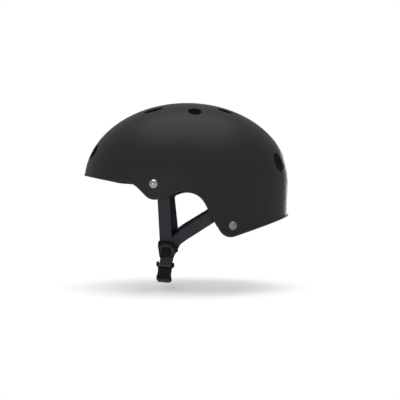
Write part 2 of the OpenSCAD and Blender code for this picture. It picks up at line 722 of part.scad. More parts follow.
// Heights in the chin frame, all below its start
chin_play = loop_gap + strap_thick / 2;
bar_loop = bar_r + chin_play;
plug_bar_z = socket_bar_z + bar_span;
socket_top = socket_bar_z + bar_r + 2.2;
socket_low = socket_top + socket_length;
base_top = socket_low + 0.8;
base_low = plug_bar_z - bar_r - 2.1;
side_half = strap_width / 2 + 0.6;

// The chin straps start inside the dividers, this far below the front straps' lower edges
chin_tuck = strap_tuck + 1;
// Left chin strap: out of the divider, round the socket's bar and back up to its stitching
chin_across = chin_turn([1, 0, 0]);
module chin_strap_left() {
    down = [[0, 0, -1], [0, 0, -3], [0, -0.3, -6], [0, -1.2, -9],
        [0, -bar_loop, -socket_bar_z + 1.5]];
    loop = [for (a = [0:30:180])
        [0, -bar_loop * cos(a), -socket_bar_z - bar_loop * sin(a)]];
    up = [[0, bar_loop, -socket_bar_z + 1.5], [0, 1.4, -9.5], [0, 1.7, -5]];
    points = concat([for (z = [front_strap_length + chin_tuck, chin_start])
            on_strap([0, 0, -z], left)],
        [for (q = concat(down, loop, up)) on_chin(q)]);
    color("#30343b") ribbon(points, [for (i = [0:len(points) - 1])
        i < 2 ? turn_strap([1, 0, 0], left) : chin_across], strap_width, strap_thick);
}

// Right chin strap: from the right divider under the chin, round the plug's bar, and back
// as a loose tail. Its points are shares of the way from that bar to where it leaves the
// divider: across, up and back.
chin_out = mirrored(on_divider([0, 0, -divider_end - 1], right));
chin_bar = on_chin([0, 0, -plug_bar_z]);
under_chin = [[0.985, 0.92, 0.82], [0.94, 0.66, 0.3], [0.87, 0.33, -0.02], [0.77, 0.06, -0.14],
    [0.64, -0.075, -0.16], [0.53, -0.1, -0.14], [0.3, -0.1, -0.08], [0.205, -0.06, -0.04],
    [0.12, -0.005, -0.01]];
tail_way = [[0.09, -0.095, 0], [0.2, -0.145, -0.04], [0.3, -0.172, -0.08], [0.53, -0.172, -0.14]];
function chin_place(q) = [for (i = [0:2]) mix(chin_bar[i], chin_out[i], q[[2, 0, 1][i]])];
module chin_strap_right() {
    start = mirrored(on_divider([0, 0, -front_strap_length - chin_tuck], right));
    ring = [for (a = [60:-30:-120])
        [0, bar_loop * sin(a), -plug_bar_z + bar_loop * cos(a)]];
    points = concat([start, chin_out], [for (q = under_chin) chin_place(q)],
        [for (q = ring) on_chin(q)], [for (q = tail_way) chin_place(q)]);
    across_out = mirrored(turn_strap([1, 0, 0], right));
    shares = concat([1, 1], [for (q = under_chin) q[0]], [for (q = ring) 0],
        [for (q = tail_way) q[0]]);
    color("#30343b") ribbon(points, [for (s = shares) mix(chin_across, across_out, s)],
        strap_width, strap_thick);
}

module strap_keeper() {
    keeper_long = 5;
    keeper_share = 0.47;
    keeper_back = mix(under_chin[6][2], under_chin[5][2],
        (keeper_share - under_chin[6][0]) / (under_chin[5][0] - under_chin[6][0]));
    upper = chin_place([keeper_share, under_chin[6][1], keeper_back]);
    lower = chin_place([keeper_share, tail_way[2][1], keeper_back]);
    inner = [strap_width / 2 + 0.5, (upper[2] - lower[2]) / 2 + strap_thick / 2 + 0.4];
    wall = 1.3;
    color("#17181a") translate((upper + lower) / 2) rotate([90, 0, 0])
        linear_extrude(keeper_long, center = true) difference() {
            polygon(rounded([for (s = [[-1, -1], [1, -1], [1, 1], [-1, 1]])
                [s[0] * (inner[0] + wall), s[1] * (inner[1] + wall), 1.6]], 4));
            polygon(rounded([for (s = [[-1, -1], [1, -1], [1, 1], [-1, 1]])
                [s[0] * inner[0], s[1] * inner[1], 0.4]], 3));
        }
}

// The socket, open at its lower end, with windows for the latch arms
half_buckle = buckle_width / 2;
half_cavity = half_buckle - 1.9;
cavity_half_thick = buckle_thick / 2 - 1.6;
face_r = 30;
window_top = socket_top + 2.6;
window_low = socket_low - 3.2;
module buckle_face() {
    intersection_for(s = [-1, 1])
        translate([0, s * (face_r - buckle_thick / 2), -30])
            cylinder(h = 60, r = face_r, center = true, $fn = 96);
}
module buckle_socket() {
    outline = rounded([
        [-socket_ears / 2, -socket_bar_z + 2.4, 1.4], [socket_ears / 2, -socket_bar_z + 2.4, 1.4],
        [socket_ears / 2, -socket_bar_z - 1.4, 1.2], [half_buckle, -socket_top - 0.4, 1.2],
        [half_buckle, -socket_low, 0.8], [-half_buckle, -socket_low, 0.8],
        [-half_buckle, -socket_top - 0.4, 1.2], [-socket_ears / 2, -socket_bar_z - 1.4, 1.2]], 4);
    color("#1a1a1c") in_chin() {
        difference() {
            intersection() {
                slab(outline, buckle_thick);
                buckle_face();
            }
            block([-side_half, -buckle_thick, -socket_top],
                [side_half, buckle_thick, -socket_bar_z + 4]);
            block([-half_cavity, -cavity_half_thick, -socket_low - 1],
                [half_cavity, cavity_half_thick, -socket_top - 1.2]);
            block([-buckle_width, -cavity_half_thick, -window_low],
                [buckle_width, cavity_half_thick, -window_top]);
            block([-half_cavity + 2.4, -buckle_thick, -socket_low + 2.2],
                [half_cavity - 2.4, -buckle_thick / 2 + 0.8, -socket_top - 2.2]);
        }
        translate([0, 0, -socket_bar_z]) rod_x(bar_r, 2 * side_half + 2);
    }
}

// The plug: a base, a middle tongue and a frame with the bar for the webbing
arm_x = 5.4;
arm_pivot_z = base_top + 1.2;
root_r = 1.1;
root_gap = 0.15;
plug_half_thick = cavity_half_thick - 0.4;
plug_half = half_buckle + 0.9;
module buckle_plug() {
    frame = rounded([
        [-half_buckle, -base_top, 0.6], [half_buckle, -base_top, 0.6],
        [plug_half, -base_low, 0.8], [side_half + 0.6, -plug_bar_z - bar_r, 1],
        [-side_half - 0.6, -plug_bar_z - bar_r, 1], [-plug_half, -base_low, 0.8]], 4);
    color("#1a1a1c") in_chin() {
        difference() {
            intersection() {
                slab(frame, buckle_thick - 1.6);
                buckle_face();
            }
            block([-side_half, -buckle_thick, -plug_bar_z - 4],
                [side_half, buckle_thick, -base_low]);
            for (s = [-1, 1]) {
                translate([s * arm_x, 0, -arm_pivot_z]) {
                    rod_y(root_r + root_gap, 2 * buckle_thick);
                    block([-root_r - root_gap, -buckle_thick, 0],
                        [root_r + root_gap, buckle_thick, 3]);
                }
            }
        }
        block([-1.3, -plug_half_thick, -base_top - eps], [1.3, plug_half_thick, -socket_top - 2.4]);
        translate([0, 0, -plug_bar_z]) rod_x(bar_r, 2 * side_half + 1.6);
    }
}

// A springy latch arm, which turns about its root in the plug's base
latch_z = window_low - 0.4;
arm_top = window_top + 0.3;
module latch_arm(side) {
    outline = [
        [side * (arm_x - 0.8), -arm_pivot_z], [side * (arm_x + 0.8), -arm_pivot_z],
        [side * (arm_x + 0.8), -latch_z], [side * (half_cavity + 1), -latch_z],
        [side * (half_cavity + 1.5), -latch_z + 2], [side * half_cavity, -arm_top],
        [side * (arm_x + 0.2), -arm_top + 1.2], [side * (arm_x - 0.8), -arm_top + 1.2]];
    color("#1a1a1c") in_chin() {
        slab(outline, 2 * plug_half_thick);
        translate([side * arm_x, 0, -arm_pivot_z]) rod_y(root_r, 2 * plug_half_thick);
    }
}
module latch_arm_front() { latch_arm(-1); }
module latch_arm_rear() { latch_arm(1); }

outer_shell();
edge_trim();
foam_liner();
brow_pad();
crown_pad();
side_pad_left();
side_pad_right();
rear_pad();
pad_patches();
rivets();
rivet_washers();
front_hanger_left();
front_hanger_right();
rear_hanger_left();
rear_hanger_right();
front_strap_left();
front_strap_right();
rear_strap_left();
rear_strap_right();
divider_left();
divider_right();
cam_lever_left();
cam_lever_right();
cam_pin_left();
cam_pin_right();
chin_strap_left();
chin_strap_right();
buckle_socket();
buckle_plug();
latch_arm_front();
latch_arm_rear();
strap_keeper();
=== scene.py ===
"""Looks of the open-face scooter helmet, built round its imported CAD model.

Sizes below are the CAD model's, in millimetres; objects are made in metres.
Front is -X, the wearer's left is -Y and up is +Z.
"""

import math

import bmesh
import bpy
import numpy as np
from mathutils import Matrix, Vector


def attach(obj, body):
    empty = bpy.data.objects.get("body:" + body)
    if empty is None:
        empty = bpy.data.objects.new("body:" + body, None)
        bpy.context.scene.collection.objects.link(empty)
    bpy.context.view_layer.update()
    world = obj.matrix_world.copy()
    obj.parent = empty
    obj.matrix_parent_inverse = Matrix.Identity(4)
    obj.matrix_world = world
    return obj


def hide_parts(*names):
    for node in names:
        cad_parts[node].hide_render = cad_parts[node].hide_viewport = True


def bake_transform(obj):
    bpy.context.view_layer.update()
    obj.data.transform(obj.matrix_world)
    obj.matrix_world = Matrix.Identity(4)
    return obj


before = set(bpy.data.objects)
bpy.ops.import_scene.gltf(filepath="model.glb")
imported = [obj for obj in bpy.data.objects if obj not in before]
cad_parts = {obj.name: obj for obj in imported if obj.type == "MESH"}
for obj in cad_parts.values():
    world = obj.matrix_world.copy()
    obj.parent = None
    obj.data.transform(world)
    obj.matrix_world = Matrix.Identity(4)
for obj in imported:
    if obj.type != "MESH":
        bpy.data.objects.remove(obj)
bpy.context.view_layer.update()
scene = bpy.context.scene
MM = 0.001

# Sizes of the CAD model
# The shell: its overall sizes, the height where it is widest, its wall, and the draw below that in degrees
LENGTH, WIDTH, CROWN, WIDEST, WALL, DRAW = 272.6, 212.0, 104.2, -8.5, 3.0, 2.2
HALF_L, HALF_W = LENGTH / 2, WIDTH / 2
# Corners of the lower edge seen from the side: x, z and fillet
CORNERS = [
    (-272.6, 0.8, 0), (-HALF_L, -1.2, 0), (-98, -9.6, 54), (-65.5, -11.8, 28), (-41, -36, 16),
    (12, -14.8, 29.5), (47, -82, 16), (HALF_L, -53.5, 0), (272.6, -23.5, 0),
]
TRIM_LIP, TRIM_BASE, FIT = 0.7, 1.0, 0.05
# Vents of the right half: turn, tilt and roll in degrees, length and width
VENTS = [
    (79, 33.5, 0, 18, 16.5), (137, 33, 48, 26, 12.5), (35, 34.5, -40, 20, 12.5),
    (167, 73, 90, 25, 20), (21.5, 79.5, -12, 25.5, 20.5),
]
CROWN_VENT = (0, 2.1, 90, 27, 16.5)
VENT_LIP = 1.1
# Rivets at x and z, each hanger's bar from its rivet with its turn, and where the straps leave the shell
FRONT_RIVET, REAR_RIVET = (-38.8, -14.0), (57.5, -64.6)
FRONT_BAR, REAR_BAR = (13.2, -7.0, -90.0), (-11.3, 22.6, 212.0)
FRONT_EXIT, REAR_EXIT = (-26.8, -31.0), (30.5, -54.2)
STRAP_W, STRAP_T, STRAP_LEAN, STRAP_LEN, STRAP_DEPTH = 15.0, 1.6, 26.0, 59.7, 2.2
LOOP_GAP, STANDOFF, HANGER_T, CHIN_LEAN = 0.3, 4.4, 2.0, 6.5
# Backward sway in degrees and lift of each side's divider
LEFT, RIGHT = (1.5, 0.0), (6.0, 7.0)
DIVIDER_LEN, SOCKET_BAR, BAR_R, BAR_SPAN = 20.8, 14.5, 1.3, 22.3
# Half sizes of the hollow inside the foam: less the shell with its gap, and less the foam
LINER_START = 3.3
CAVITY = (HALF_L - LINER_START - 22, HALF_W - LINER_START - 20, CROWN - LINER_START - 24)


# The shell's shape
def unit(v):
    v = np.asarray(v, float)
    return v / np.linalg.norm(v)


def rounded_line(corners, steps):
    """Corners given as x, z and fillet, with each fillet drawn as an arc."""
    pts = [np.array(c[:2], float) for c in corners]
    out = []
    for i, (p, c) in enumerate(zip(pts, corners)):
        if c[2] == 0:
            out.append(p)
            continue
        u, v = unit(pts[i - 1] - p), unit(pts[i + 1] - p)
        half = math.acos(float(u @ v)) / 2
        t = c[2] / math.tan(half)
        centre = p + unit(u + v) * c[2] / math.sin(half)
        s, e = p + u * t - centre, p + v * t - centre
        a0 = math.atan2(s[1], s[0])
        d = (math.atan2(e[1], e[0]) - a0 + math.pi) % (2 * math.pi) - math.pi
        out += [centre + c[2] * np.array([math.cos(a0 + d * k / steps), math.sin(a0 + d * k / steps)])
                for k in range(steps + 1)]
    return np.array(out)


EDGE = rounded_line(CORNERS, 14)


def edge_line(d):
    """The lower edge seen from the side, moved up by d at right angles to itself."""
    t = np.gradient(EDGE, axis=0)
    t /= np.linalg.norm(t, axis=1)[:, None]
    return EDGE + d * np.stack([-t[:, 1], t[:, 0]], axis=1)


def plan_scale(z, inset):
    """How far the plan has shrunk at height z, for the surface that lies inset inside the shell."""
    a, c = HALF_L - inset, CROWN - inset
    low = 1 - (WIDEST - z) * math.tan(math.radians(DRAW)) / a
    high = np.sqrt(np.clip(1 - ((z - WIDEST) / c) ** 2, 0, 1))
    return np.where(z < WIDEST, low, high)


def wall_y(x, z, inset):
    """How far out the wall lies at x and z, on the surface that lies inset inside the shell."""
    a, b, c = HALF_L - inset, HALF_W - inset, CROWN - inset
    k = 1 - max(0, WIDEST - z) * math.tan(math.radians(DRAW)) / a
    return b * k * math.sqrt(max(0, 1 - (x / (a * k)) ** 2 - (max(0, z - WIDEST) / c) ** 2))


def rim_points(turns, inset, d):
    """Points of the lower edge, moved up by d, on the surface that lies inset inside the shell."""
    line = edge_line(d)
    x = (HALF_L - inset) * np.cos(turns)
    for _ in range(8):
        z = np.interp(x, line[:, 0], line[:, 1])
        x = (HALF_L - inset) * plan_scale(z, inset) * np.cos(turns)
    z = np.interp(x, line[:, 0], line[:, 1])
    return x, (HALF_W - inset) * plan_scale(z, inset) * np.sin(turns), z


# Mesh helpers
def mesh_object(name, verts, faces, smooth=35.0):
    me = bpy.data.meshes.new(name)
    me.from_pydata([tuple(float(c) * MM for c in v) for v in verts], [], faces)
    me.update()
    ob = bpy.data.objects.new(name, me)
    scene.collection.objects.link(ob)
    shade(ob, smooth)
    return ob


def shade(ob, angle=35.0):
    ob.data.polygons.foreach_set("use_smooth", [True] * len(ob.data.polygons))
    if angle is not None:
        ob.data.set_sharp_from_angle(angle=math.radians(angle))


def outward(ob):
    bm = bmesh.new()
    bm.from_mesh(ob.data)
    bmesh.ops.recalc_face_normals(bm, faces=bm.faces)
    bm.to_mesh(ob.data)
    bm.free()


def bake_modifiers(ob):
    deps = bpy.context.evaluated_depsgraph_get()
    me = bpy.data.meshes.new_from_object(ob.evaluated_get(deps))
    ob.modifiers.clear()
    ob.data = me


def tube(name, path, radius, sides=8, closed=False):
    """A round tube along points, in millimetres."""
    pts = [np.array(p, float) for p in path]
    n = len(pts)
    verts, faces = [], []
    normal = None
    for i in range(n):
        a = pts[(i - 1) % n] if closed or i else pts[0]
        b = pts[(i + 1) % n] if closed or i < n - 1 else pts[-1]
        t = unit(b - a)
        if normal is None:
            normal = unit(np.cross(t, [0.3, 0.5, 0.81]))
        normal = unit(normal - (normal @ t) * t)
        side = np.cross(t, normal)
        for k in range(sides):
            w = 2 * math.pi * k / sides
            verts.append(pts[i] + radius * (math.cos(w) * normal + math.sin(w) * side))
    for i in range(n if closed else n - 1):
        for k in range(sides):
            a, b = i * sides + k, i * sides + (k + 1) % sides
            c, d = ((i + 1) % n) * sides + (k + 1) % sides, ((i + 1) % n) * sides + k
            faces.append((a, b, c, d))
    if not closed:
        faces.append(tuple(range(sides))[::-1])
        faces.append(tuple((n - 1) * sides + k for k in range(sides)))
    return verts, faces


def joined(name, parts, smooth=35.0, turn_out=True):
    verts, faces = [], []
    for v, f in parts:
        base = len(verts)
        verts += list(v)
        faces += [tuple(base + i for i in q) for q in f]
    ob = mesh_object(name, verts, faces, smooth)
    if turn_out:
        outward(ob)
    shade(ob, smooth)
    return ob


# Materials
def new_material(name):
    mat = bpy.data.materials.new(name)
    mat.use_nodes = True
    nt = mat.node_tree
    bsdf = next(n for n in nt.nodes if n.type == "BSDF_PRINCIPLED")
    return mat, nt, bsdf


def node(nt, kind, **values):
    n = nt.nodes.new(kind)
    for key, value in values.items():
        if key in n.inputs:
            n.inputs[key].default_value = value
        else:
            setattr(n, key.lower(), value)
    return n


def coords(nt, kind="Object"):
    return nt.nodes.new("ShaderNodeTexCoord").outputs[kind]


def ramp(nt, factor, stops):
    r = nt.nodes.new("ShaderNodeValToRGB")
    el = r.color_ramp.elements
    while len(el) < len(stops):
        el.new(0.5)
    for e, (pos, colour) in zip(el, stops):
        e.position = pos
        e.color = (*colour, 1) if len(colour) == 3 else colour
    nt.links.new(factor, r.inputs["Fac"])
    return r.outputs["Color"]


def grey(v):
    return (v, v, v)


def to_range(nt, factor, low, high, start=0.0):
    m = nt.nodes.new("ShaderNodeMapRange")
    m.inputs["From Min"].default_value = start
    m.inputs["To Min"].default_value = low
    m.inputs["To Max"].default_value = high
    nt.links.new(factor, m.inputs["Value"])
    return m.outputs["Result"]


def bump(nt, bsdf, layers):
    """Stacks bump layers of (height, distance in metres, strength)."""
    last = None
    for height, distance, strength in layers:
        b = nt.nodes.new("ShaderNodeBump")
        b.inputs["Distance"].default_value = distance
        b.inputs["Strength"].default_value = strength
        nt.links.new(height, b.inputs["Height"])
        if last is not None:
            nt.links.new(last, b.inputs["Normal"])
        last = b.outputs["Normal"]
    nt.links.new(last, bsdf.inputs["Normal"])


def noise(nt, vector, scale, detail=3.0, rough=0.5):
    n = node(nt, "ShaderNodeTexNoise", Scale=scale, Detail=detail, Roughness=rough)
    nt.links.new(vector, n.inputs["Vector"])
    return n.outputs["Fac"]


def moulded(name, colour, rough, spec=0.4, grain=3500, grain_depth=0.00003, wear=0.15):
    """Moulded plastic or rubber: fine grain, slight colour and gloss variation."""
    mat, nt, bsdf = new_material(name)
    v = coords(nt)
    broad = noise(nt, v, 22, 4)
    fine = noise(nt, v, grain, 2)
    c0 = tuple(c * (1 - wear) for c in colour)
    c1 = tuple(c * (1 + wear) for c in colour)
    nt.links.new(ramp(nt, broad, [(0.35, c0), (0.65, c1)]), bsdf.inputs["Base Color"])
    nt.links.new(to_range(nt, broad, rough - 0.04, rough + 0.05), bsdf.inputs["Roughness"])
    bsdf.inputs["Specular IOR Level"].default_value = spec
    bump(nt, bsdf, [(fine, grain_depth, 0.6)])
    return mat


def shell_material():
    mat, nt, bsdf = new_material("shell_matt_black")
    v = coords(nt)
    broad = noise(nt, v, 9, 3)
    cloudy = noise(nt, v, 60, 4)
    grain = noise(nt, v, 2600, 2)
    nt.links.new(ramp(nt, broad, [(0.3, (0.0188, 0.0188, 0.0188)), (0.7, (0.0215, 0.0214, 0.0211))]),
                 bsdf.inputs["Base Color"])
    nt.links.new(to_range(nt, cloudy, 0.36, 0.41), bsdf.inputs["Roughness"])
    bsdf.inputs["Specular IOR Level"].default_value = 0.22
    bump(nt, bsdf, [(cloudy, 0.00002, 0.15), (grain, 0.00001, 0.3)])
    return mat


def foam_material():
    mat, nt, bsdf = new_material("foam_beads")
    v = coords(nt)
    cells = node(nt, "ShaderNodeTexVoronoi", Scale=330.0)
    nt.links.new(v, cells.inputs["Vector"])
    edges = node(nt, "ShaderNodeTexVoronoi", Scale=330.0, Feature="DISTANCE_TO_EDGE")
    nt.links.new(v, edges.inputs["Vector"])
    tone = nt.nodes.new("ShaderNodeSeparateColor")
    nt.links.new(cells.outputs["Color"], tone.inputs["Color"])
    nt.links.new(ramp(nt, tone.outputs[0], [(0.0, grey(0.014)), (1.0, grey(0.024))]),
                 bsdf.inputs["Base Color"])
    bsdf.inputs["Roughness"].default_value = 0.72
    bsdf.inputs["Specular IOR Level"].default_value = 0.3
    gaps = to_range(nt, edges.outputs["Distance"], 0, 1)
    bump(nt, bsdf, [(ramp(nt, gaps, [(0.0, grey(0)), (0.12, grey(0.8)), (0.5, grey(1))]), 0.0004, 0.5),
                    (noise(nt, v, 2500, 2), 0.00005, 0.4)])
    return mat


def webbing_material():
    """Flat woven webbing. U runs across and V along, both in metres from the UV map."""
    mat, nt, bsdf = new_material("webbing_weave")
    uv = coords(nt, "UV")
    rows = node(nt, "ShaderNodeTexWave", Scale=1.0, Distortion=0.6, wave_type="BANDS",
                bands_direction="Y", wave_profile="SIN")
    scaled = node(nt, "ShaderNodeMapping")
    scaled.inputs["Scale"].default_value = (1 / 0.0011, 1 / 0.0020, 1)
    nt.links.new(uv, scaled.inputs["Vector"])
    cell = nt.nodes.new("ShaderNodeTexBrick")
    cell.offset = 0.5
    for key, value in {"Scale": 1.0, "Mortar Size": 0.09, "Mortar Smooth": 0.9, "Brick Width": 0.5,
                       "Row Height": 0.5, "Bias": 0.0}.items():
        cell.inputs[key].default_value = value
    turned = node(nt, "ShaderNodeMapping")
    turned.inputs["Rotation"].default_value = (0, 0, math.pi / 2)
    turned.inputs["Scale"].default_value = (1 / 0.0034, 1 / 0.0016, 1)
    nt.links.new(uv, turned.inputs["Vector"])
    nt.links.new(turned.outputs["Vector"], cell.inputs["Vector"])
    nt.links.new(scaled.outputs["Vector"], rows.inputs["Vector"])
    height = nt.nodes.new("ShaderNodeMath")
    height.operation = "SUBTRACT"
    nt.links.new(rows.outputs["Fac"], height.inputs[0])
    nt.links.new(cell.outputs["Fac"], height.inputs[1])
    threads = noise(nt, coords(nt), 1800, 3)
    nt.links.new(ramp(nt, threads, [(0.3, (0.015, 0.0168, 0.022)), (0.7, (0.0262, 0.0297, 0.0375))]),
                 bsdf.inputs["Base Color"])
    bsdf.inputs["Roughness"].default_value = 0.68
    bsdf.inputs["Specular IOR Level"].default_value = 0.35
    bsdf.inputs["Sheen Weight"].default_value = 0.12
    bsdf.inputs["Sheen Roughness"].default_value = 0.45
    bump(nt, bsdf, [(height.outputs[0], 0.00018, 0.7), (threads, 0.00006, 0.4)])
    return mat


def fabric_material(name, dark, light, scale=520.0):
    """Knitted pad cover with a small honeycomb mesh."""
    mat, nt, bsdf = new_material(name)
    v = coords(nt)
    cells = node(nt, "ShaderNodeTexVoronoi", Scale=scale, Feature="DISTANCE_TO_EDGE")
    nt.links.new(v, cells.inputs["Vector"])
    tone = ramp(nt, cells.outputs["Distance"], [(0.05, light), (0.3, dark)])
    nt.links.new(tone, bsdf.inputs["Base Color"])
    bsdf.inputs["Roughness"].default_value = 0.85
    bsdf.inputs["Specular IOR Level"].default_value = 0.25
    bsdf.inputs["Sheen Weight"].default_value = 0.25
    bsdf.inputs["Sheen Roughness"].default_value = 0.5
    depth = ramp(nt, cells.outputs["Distance"], [(0.05, grey(1)), (0.35, grey(0))])
    bump(nt, bsdf, [(depth, 0.0003, 0.6), (noise(nt, v, 1400, 3), 0.0001, 0.4)])
    return mat


def metal(name, colour, rough, brush=0.0):
    mat, nt, bsdf = new_material(name)
    v = coords(nt)
    n = noise(nt, v, 420, 4)
    darker = tuple(c * 0.93 for c in colour)
    nt.links.new(ramp(nt, n, [(0.3, darker), (0.7, colour)]), bsdf.inputs["Base Color"])
    nt.links.new(to_range(nt, n, rough * 0.85, rough * 1.2), bsdf.inputs["Roughness"])
    bsdf.inputs["Metallic"].default_value = 1.0
    bump(nt, bsdf, [(noise(nt, v, 1500, 2), 0.00001, 0.2 + brush)])
    return mat


def rivet_material():
    """Polished front rivets; the rear ones are satin, with turning marks."""
    mat, nt, bsdf = new_material("rivet_metal")
    v = coords(nt)
    split = nt.nodes.new("ShaderNodeSeparateXYZ")
    nt.links.new(v, split.inputs[0])
    rear = node(nt, "ShaderNodeMath", operation="GREATER_THAN")
    nt.links.new(split.outputs["X"], rear.inputs[0])
    rear.inputs[1].default_value = 0.0
    nt.links.new(ramp(nt, rear.outputs[0], [(0.0, (0.66, 0.67, 0.68)), (1.0, (0.40, 0.40, 0.41))]),
                 bsdf.inputs["Base Color"])
    marks = noise(nt, v, 700, 4)
    rough = nt.nodes.new("ShaderNodeMath")
    rough.operation = "MULTIPLY_ADD"
    nt.links.new(rear.outputs[0], rough.inputs[0])
    rough.inputs[1].default_value = 0.28
    nt.links.new(to_range(nt, marks, 0.13, 0.19), rough.inputs[2])
    nt.links.new(rough.outputs[0], bsdf.inputs["Roughness"])
    bsdf.inputs["Metallic"].default_value = 1.0
    bump(nt, bsdf, [(marks, 0.00001, 0.3)])
    return mat


M_SHELL = shell_material()
M_TRIM = moulded("trim_rubber", (0.017, 0.017, 0.017), 0.5, 0.4, 2600, 0.00003)
M_FOAM = foam_material()
M_WEB = webbing_material()
M_PAD = fabric_material("pad_mesh", (0.006, 0.006, 0.007), (0.022, 0.022, 0.025))
M_PIPING = fabric_material("pad_piping", (0.008, 0.008, 0.009), (0.018, 0.018, 0.02), 1500.0)
M_HOOK = fabric_material("hook_tape", (0.004, 0.004, 0.004), (0.014, 0.014, 0.014), 1100.0)
M_FITTING = moulded("fitting_plastic", (0.0045, 0.0047, 0.0055), 0.36, 0.2, 2200, 0.00003)
# Lighter plastic for the dividers' crescents: painted light, standing in for light falling on the dish
M_PAINTED_LIGHT = moulded("crescent_painted_light", (0.026, 0.027, 0.030), 0.6, 0.3, 2600, 0.00004)
M_LEVER = moulded("lever_plastic", (0.004, 0.004, 0.005), 0.34, 0.18, 2200, 0.00002)
M_BUCKLE = moulded("buckle_plastic", (0.0045, 0.0045, 0.0055), 0.4, 0.2, 2400, 0.00003)
M_HANGER = moulded("hanger_plastic", (0.012, 0.012, 0.013), 0.5, 0.35, 2400, 0.00003)
M_RIVET = rivet_material()
M_STEEL = metal("washer_steel", (0.5, 0.51, 0.52), 0.38, 0.2)
M_PIN = metal("pin_steel", (0.06, 0.06, 0.065), 0.4, 0.2)


def finish_piece(ob, material, body, slot, *nodes):
    ob.data.materials.clear()
    ob.data.materials.append(material)
    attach(ob, body)
    if nodes:
        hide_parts(*nodes)
    return ob


# Shell
def shell_grid(columns, rows, inset, lift):
    """Rings from the crown to the lower edge, with one vertex at the crown."""
    a, b, c = HALF_L - inset, HALF_W - inset, CROWN - inset
    turns = np.arange(columns) * 2 * math.pi / columns
    _, _, z_edge = rim_points(turns, inset, lift)
    arm = 115.0
    full = arm * math.pi / 2
    reach = np.where(z_edge < WIDEST, full + WIDEST - z_edge,
                     arm * np.arccos(np.clip((z_edge - WIDEST) / c, -1, 1)))
    verts = [(0, 0, WIDEST + c)]
    for i in range(1, rows + 1):
        way = reach * i / rows
        tilt = np.minimum(way / arm, math.pi / 2)
        drop = np.maximum(0, way - full)
        k = np.sin(tilt) * (1 - drop * math.tan(math.radians(DRAW)) / a)
        z = WIDEST + c * np.cos(tilt) - drop
        verts += list(zip(a * k * np.cos(turns), b * k * np.sin(turns), z))
    faces = [(0, 1 + j, 1 + (j + 1) % columns) for j in range(columns)]
    for i in range(rows - 1):
        r0, r1 = 1 + i * columns, 1 + (i + 1) * columns
        faces += [(r0 + j, r1 + j, r1 + (j + 1) % columns, r0 + (j + 1) % columns) for j in range(columns)]
    return verts, faces


def vent_cutter(vent, side, lip=VENT_LIP, steps=72):
    """A closed cutter for one vent. Its mouth follows the shell with a rounded lip."""
    az, tilt, roll, length, width = vent
    turn = (Matrix.Rotation(math.radians(side * az), 3, "Z") @ Matrix.Rotation(math.radians(tilt), 3, "Y")
            @ Matrix.Rotation(math.radians(side * roll), 3, "Z"))
    turn = np.array(turn)
    axes = np.array([HALF_L, HALF_W, CROWN])
    levels = [(lip + 1.2, -4.0), (lip + 1.2, -0.25)]
    levels += [(lip * (1 - math.sin(math.radians(t))), lip * (1 - math.cos(math.radians(t))))
               for t in (14, 30, 46, 62, 78, 90)]
    levels += [(0, WALL - 0.5), (0.15, WALL - 0.15), (0.6, WALL + 0.35), (0.9, WALL + 2.0)]
    verts, faces = [], []
    for out, depth in levels:
        for k in range(steps):
            w = 2 * math.pi * k / steps
            p = turn @ np.array([(length / 2 + out) * math.cos(w), (width / 2 + out) * math.sin(w), 0])
            d = turn[:, 2]
            q2, q1, q0 = ((d / axes) ** 2).sum(), (p * d / axes ** 2).sum(), ((p / axes) ** 2).sum() - 1
            t = (-q1 + math.sqrt(q1 * q1 - q2 * q0)) / q2 - depth
            verts.append(p + t * d + np.array([0, 0, WIDEST]))
    n = len(levels)
    for i in range(n - 1):
        for k in range(steps):
            a, b = i * steps + k, i * steps + (k + 1) % steps
            faces.append((a, a + steps, b + steps, b))
    faces.append(tuple(range(steps)))
    faces.append(tuple((n - 1) * steps + k for k in range(steps))[::-1])
    return verts, faces


def build_shell():
    columns, rows = ((480, 88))
    v0, f0 = shell_grid(columns, rows, 0, TRIM_BASE + FIT)
    v1, f1 = shell_grid(columns, rows, WALL, TRIM_BASE + FIT)
    base = len(v0)
    last0, last1 = base - columns, base + len(v1) - columns
    faces = list(f0) + [tuple(base + i for i in q[::-1]) for q in f1]
    faces += [(last0 + j, last1 + j, last1 + (j + 1) % columns, last0 + (j + 1) % columns)
              for j in range(columns)]
    shell = mesh_object("helmet_shell", list(v0) + list(v1), faces)
    outward(shell)
    parts = [vent_cutter(v, s) for v in VENTS for s in (1, -1)] + [vent_cutter(CROWN_VENT, 1)]
    cutter = joined("vent_cutters", parts, turn_out=False)
    mod = shell.modifiers.new("vents", "BOOLEAN")
    mod.operation, mod.solver, mod.object = "DIFFERENCE", "MANIFOLD", cutter
    bake_modifiers(shell)
    bpy.data.objects.remove(cutter)
    shade(shell, 40)
    return finish_piece(shell, M_SHELL, "helmet", "shell", "outer_shell")


build_shell()


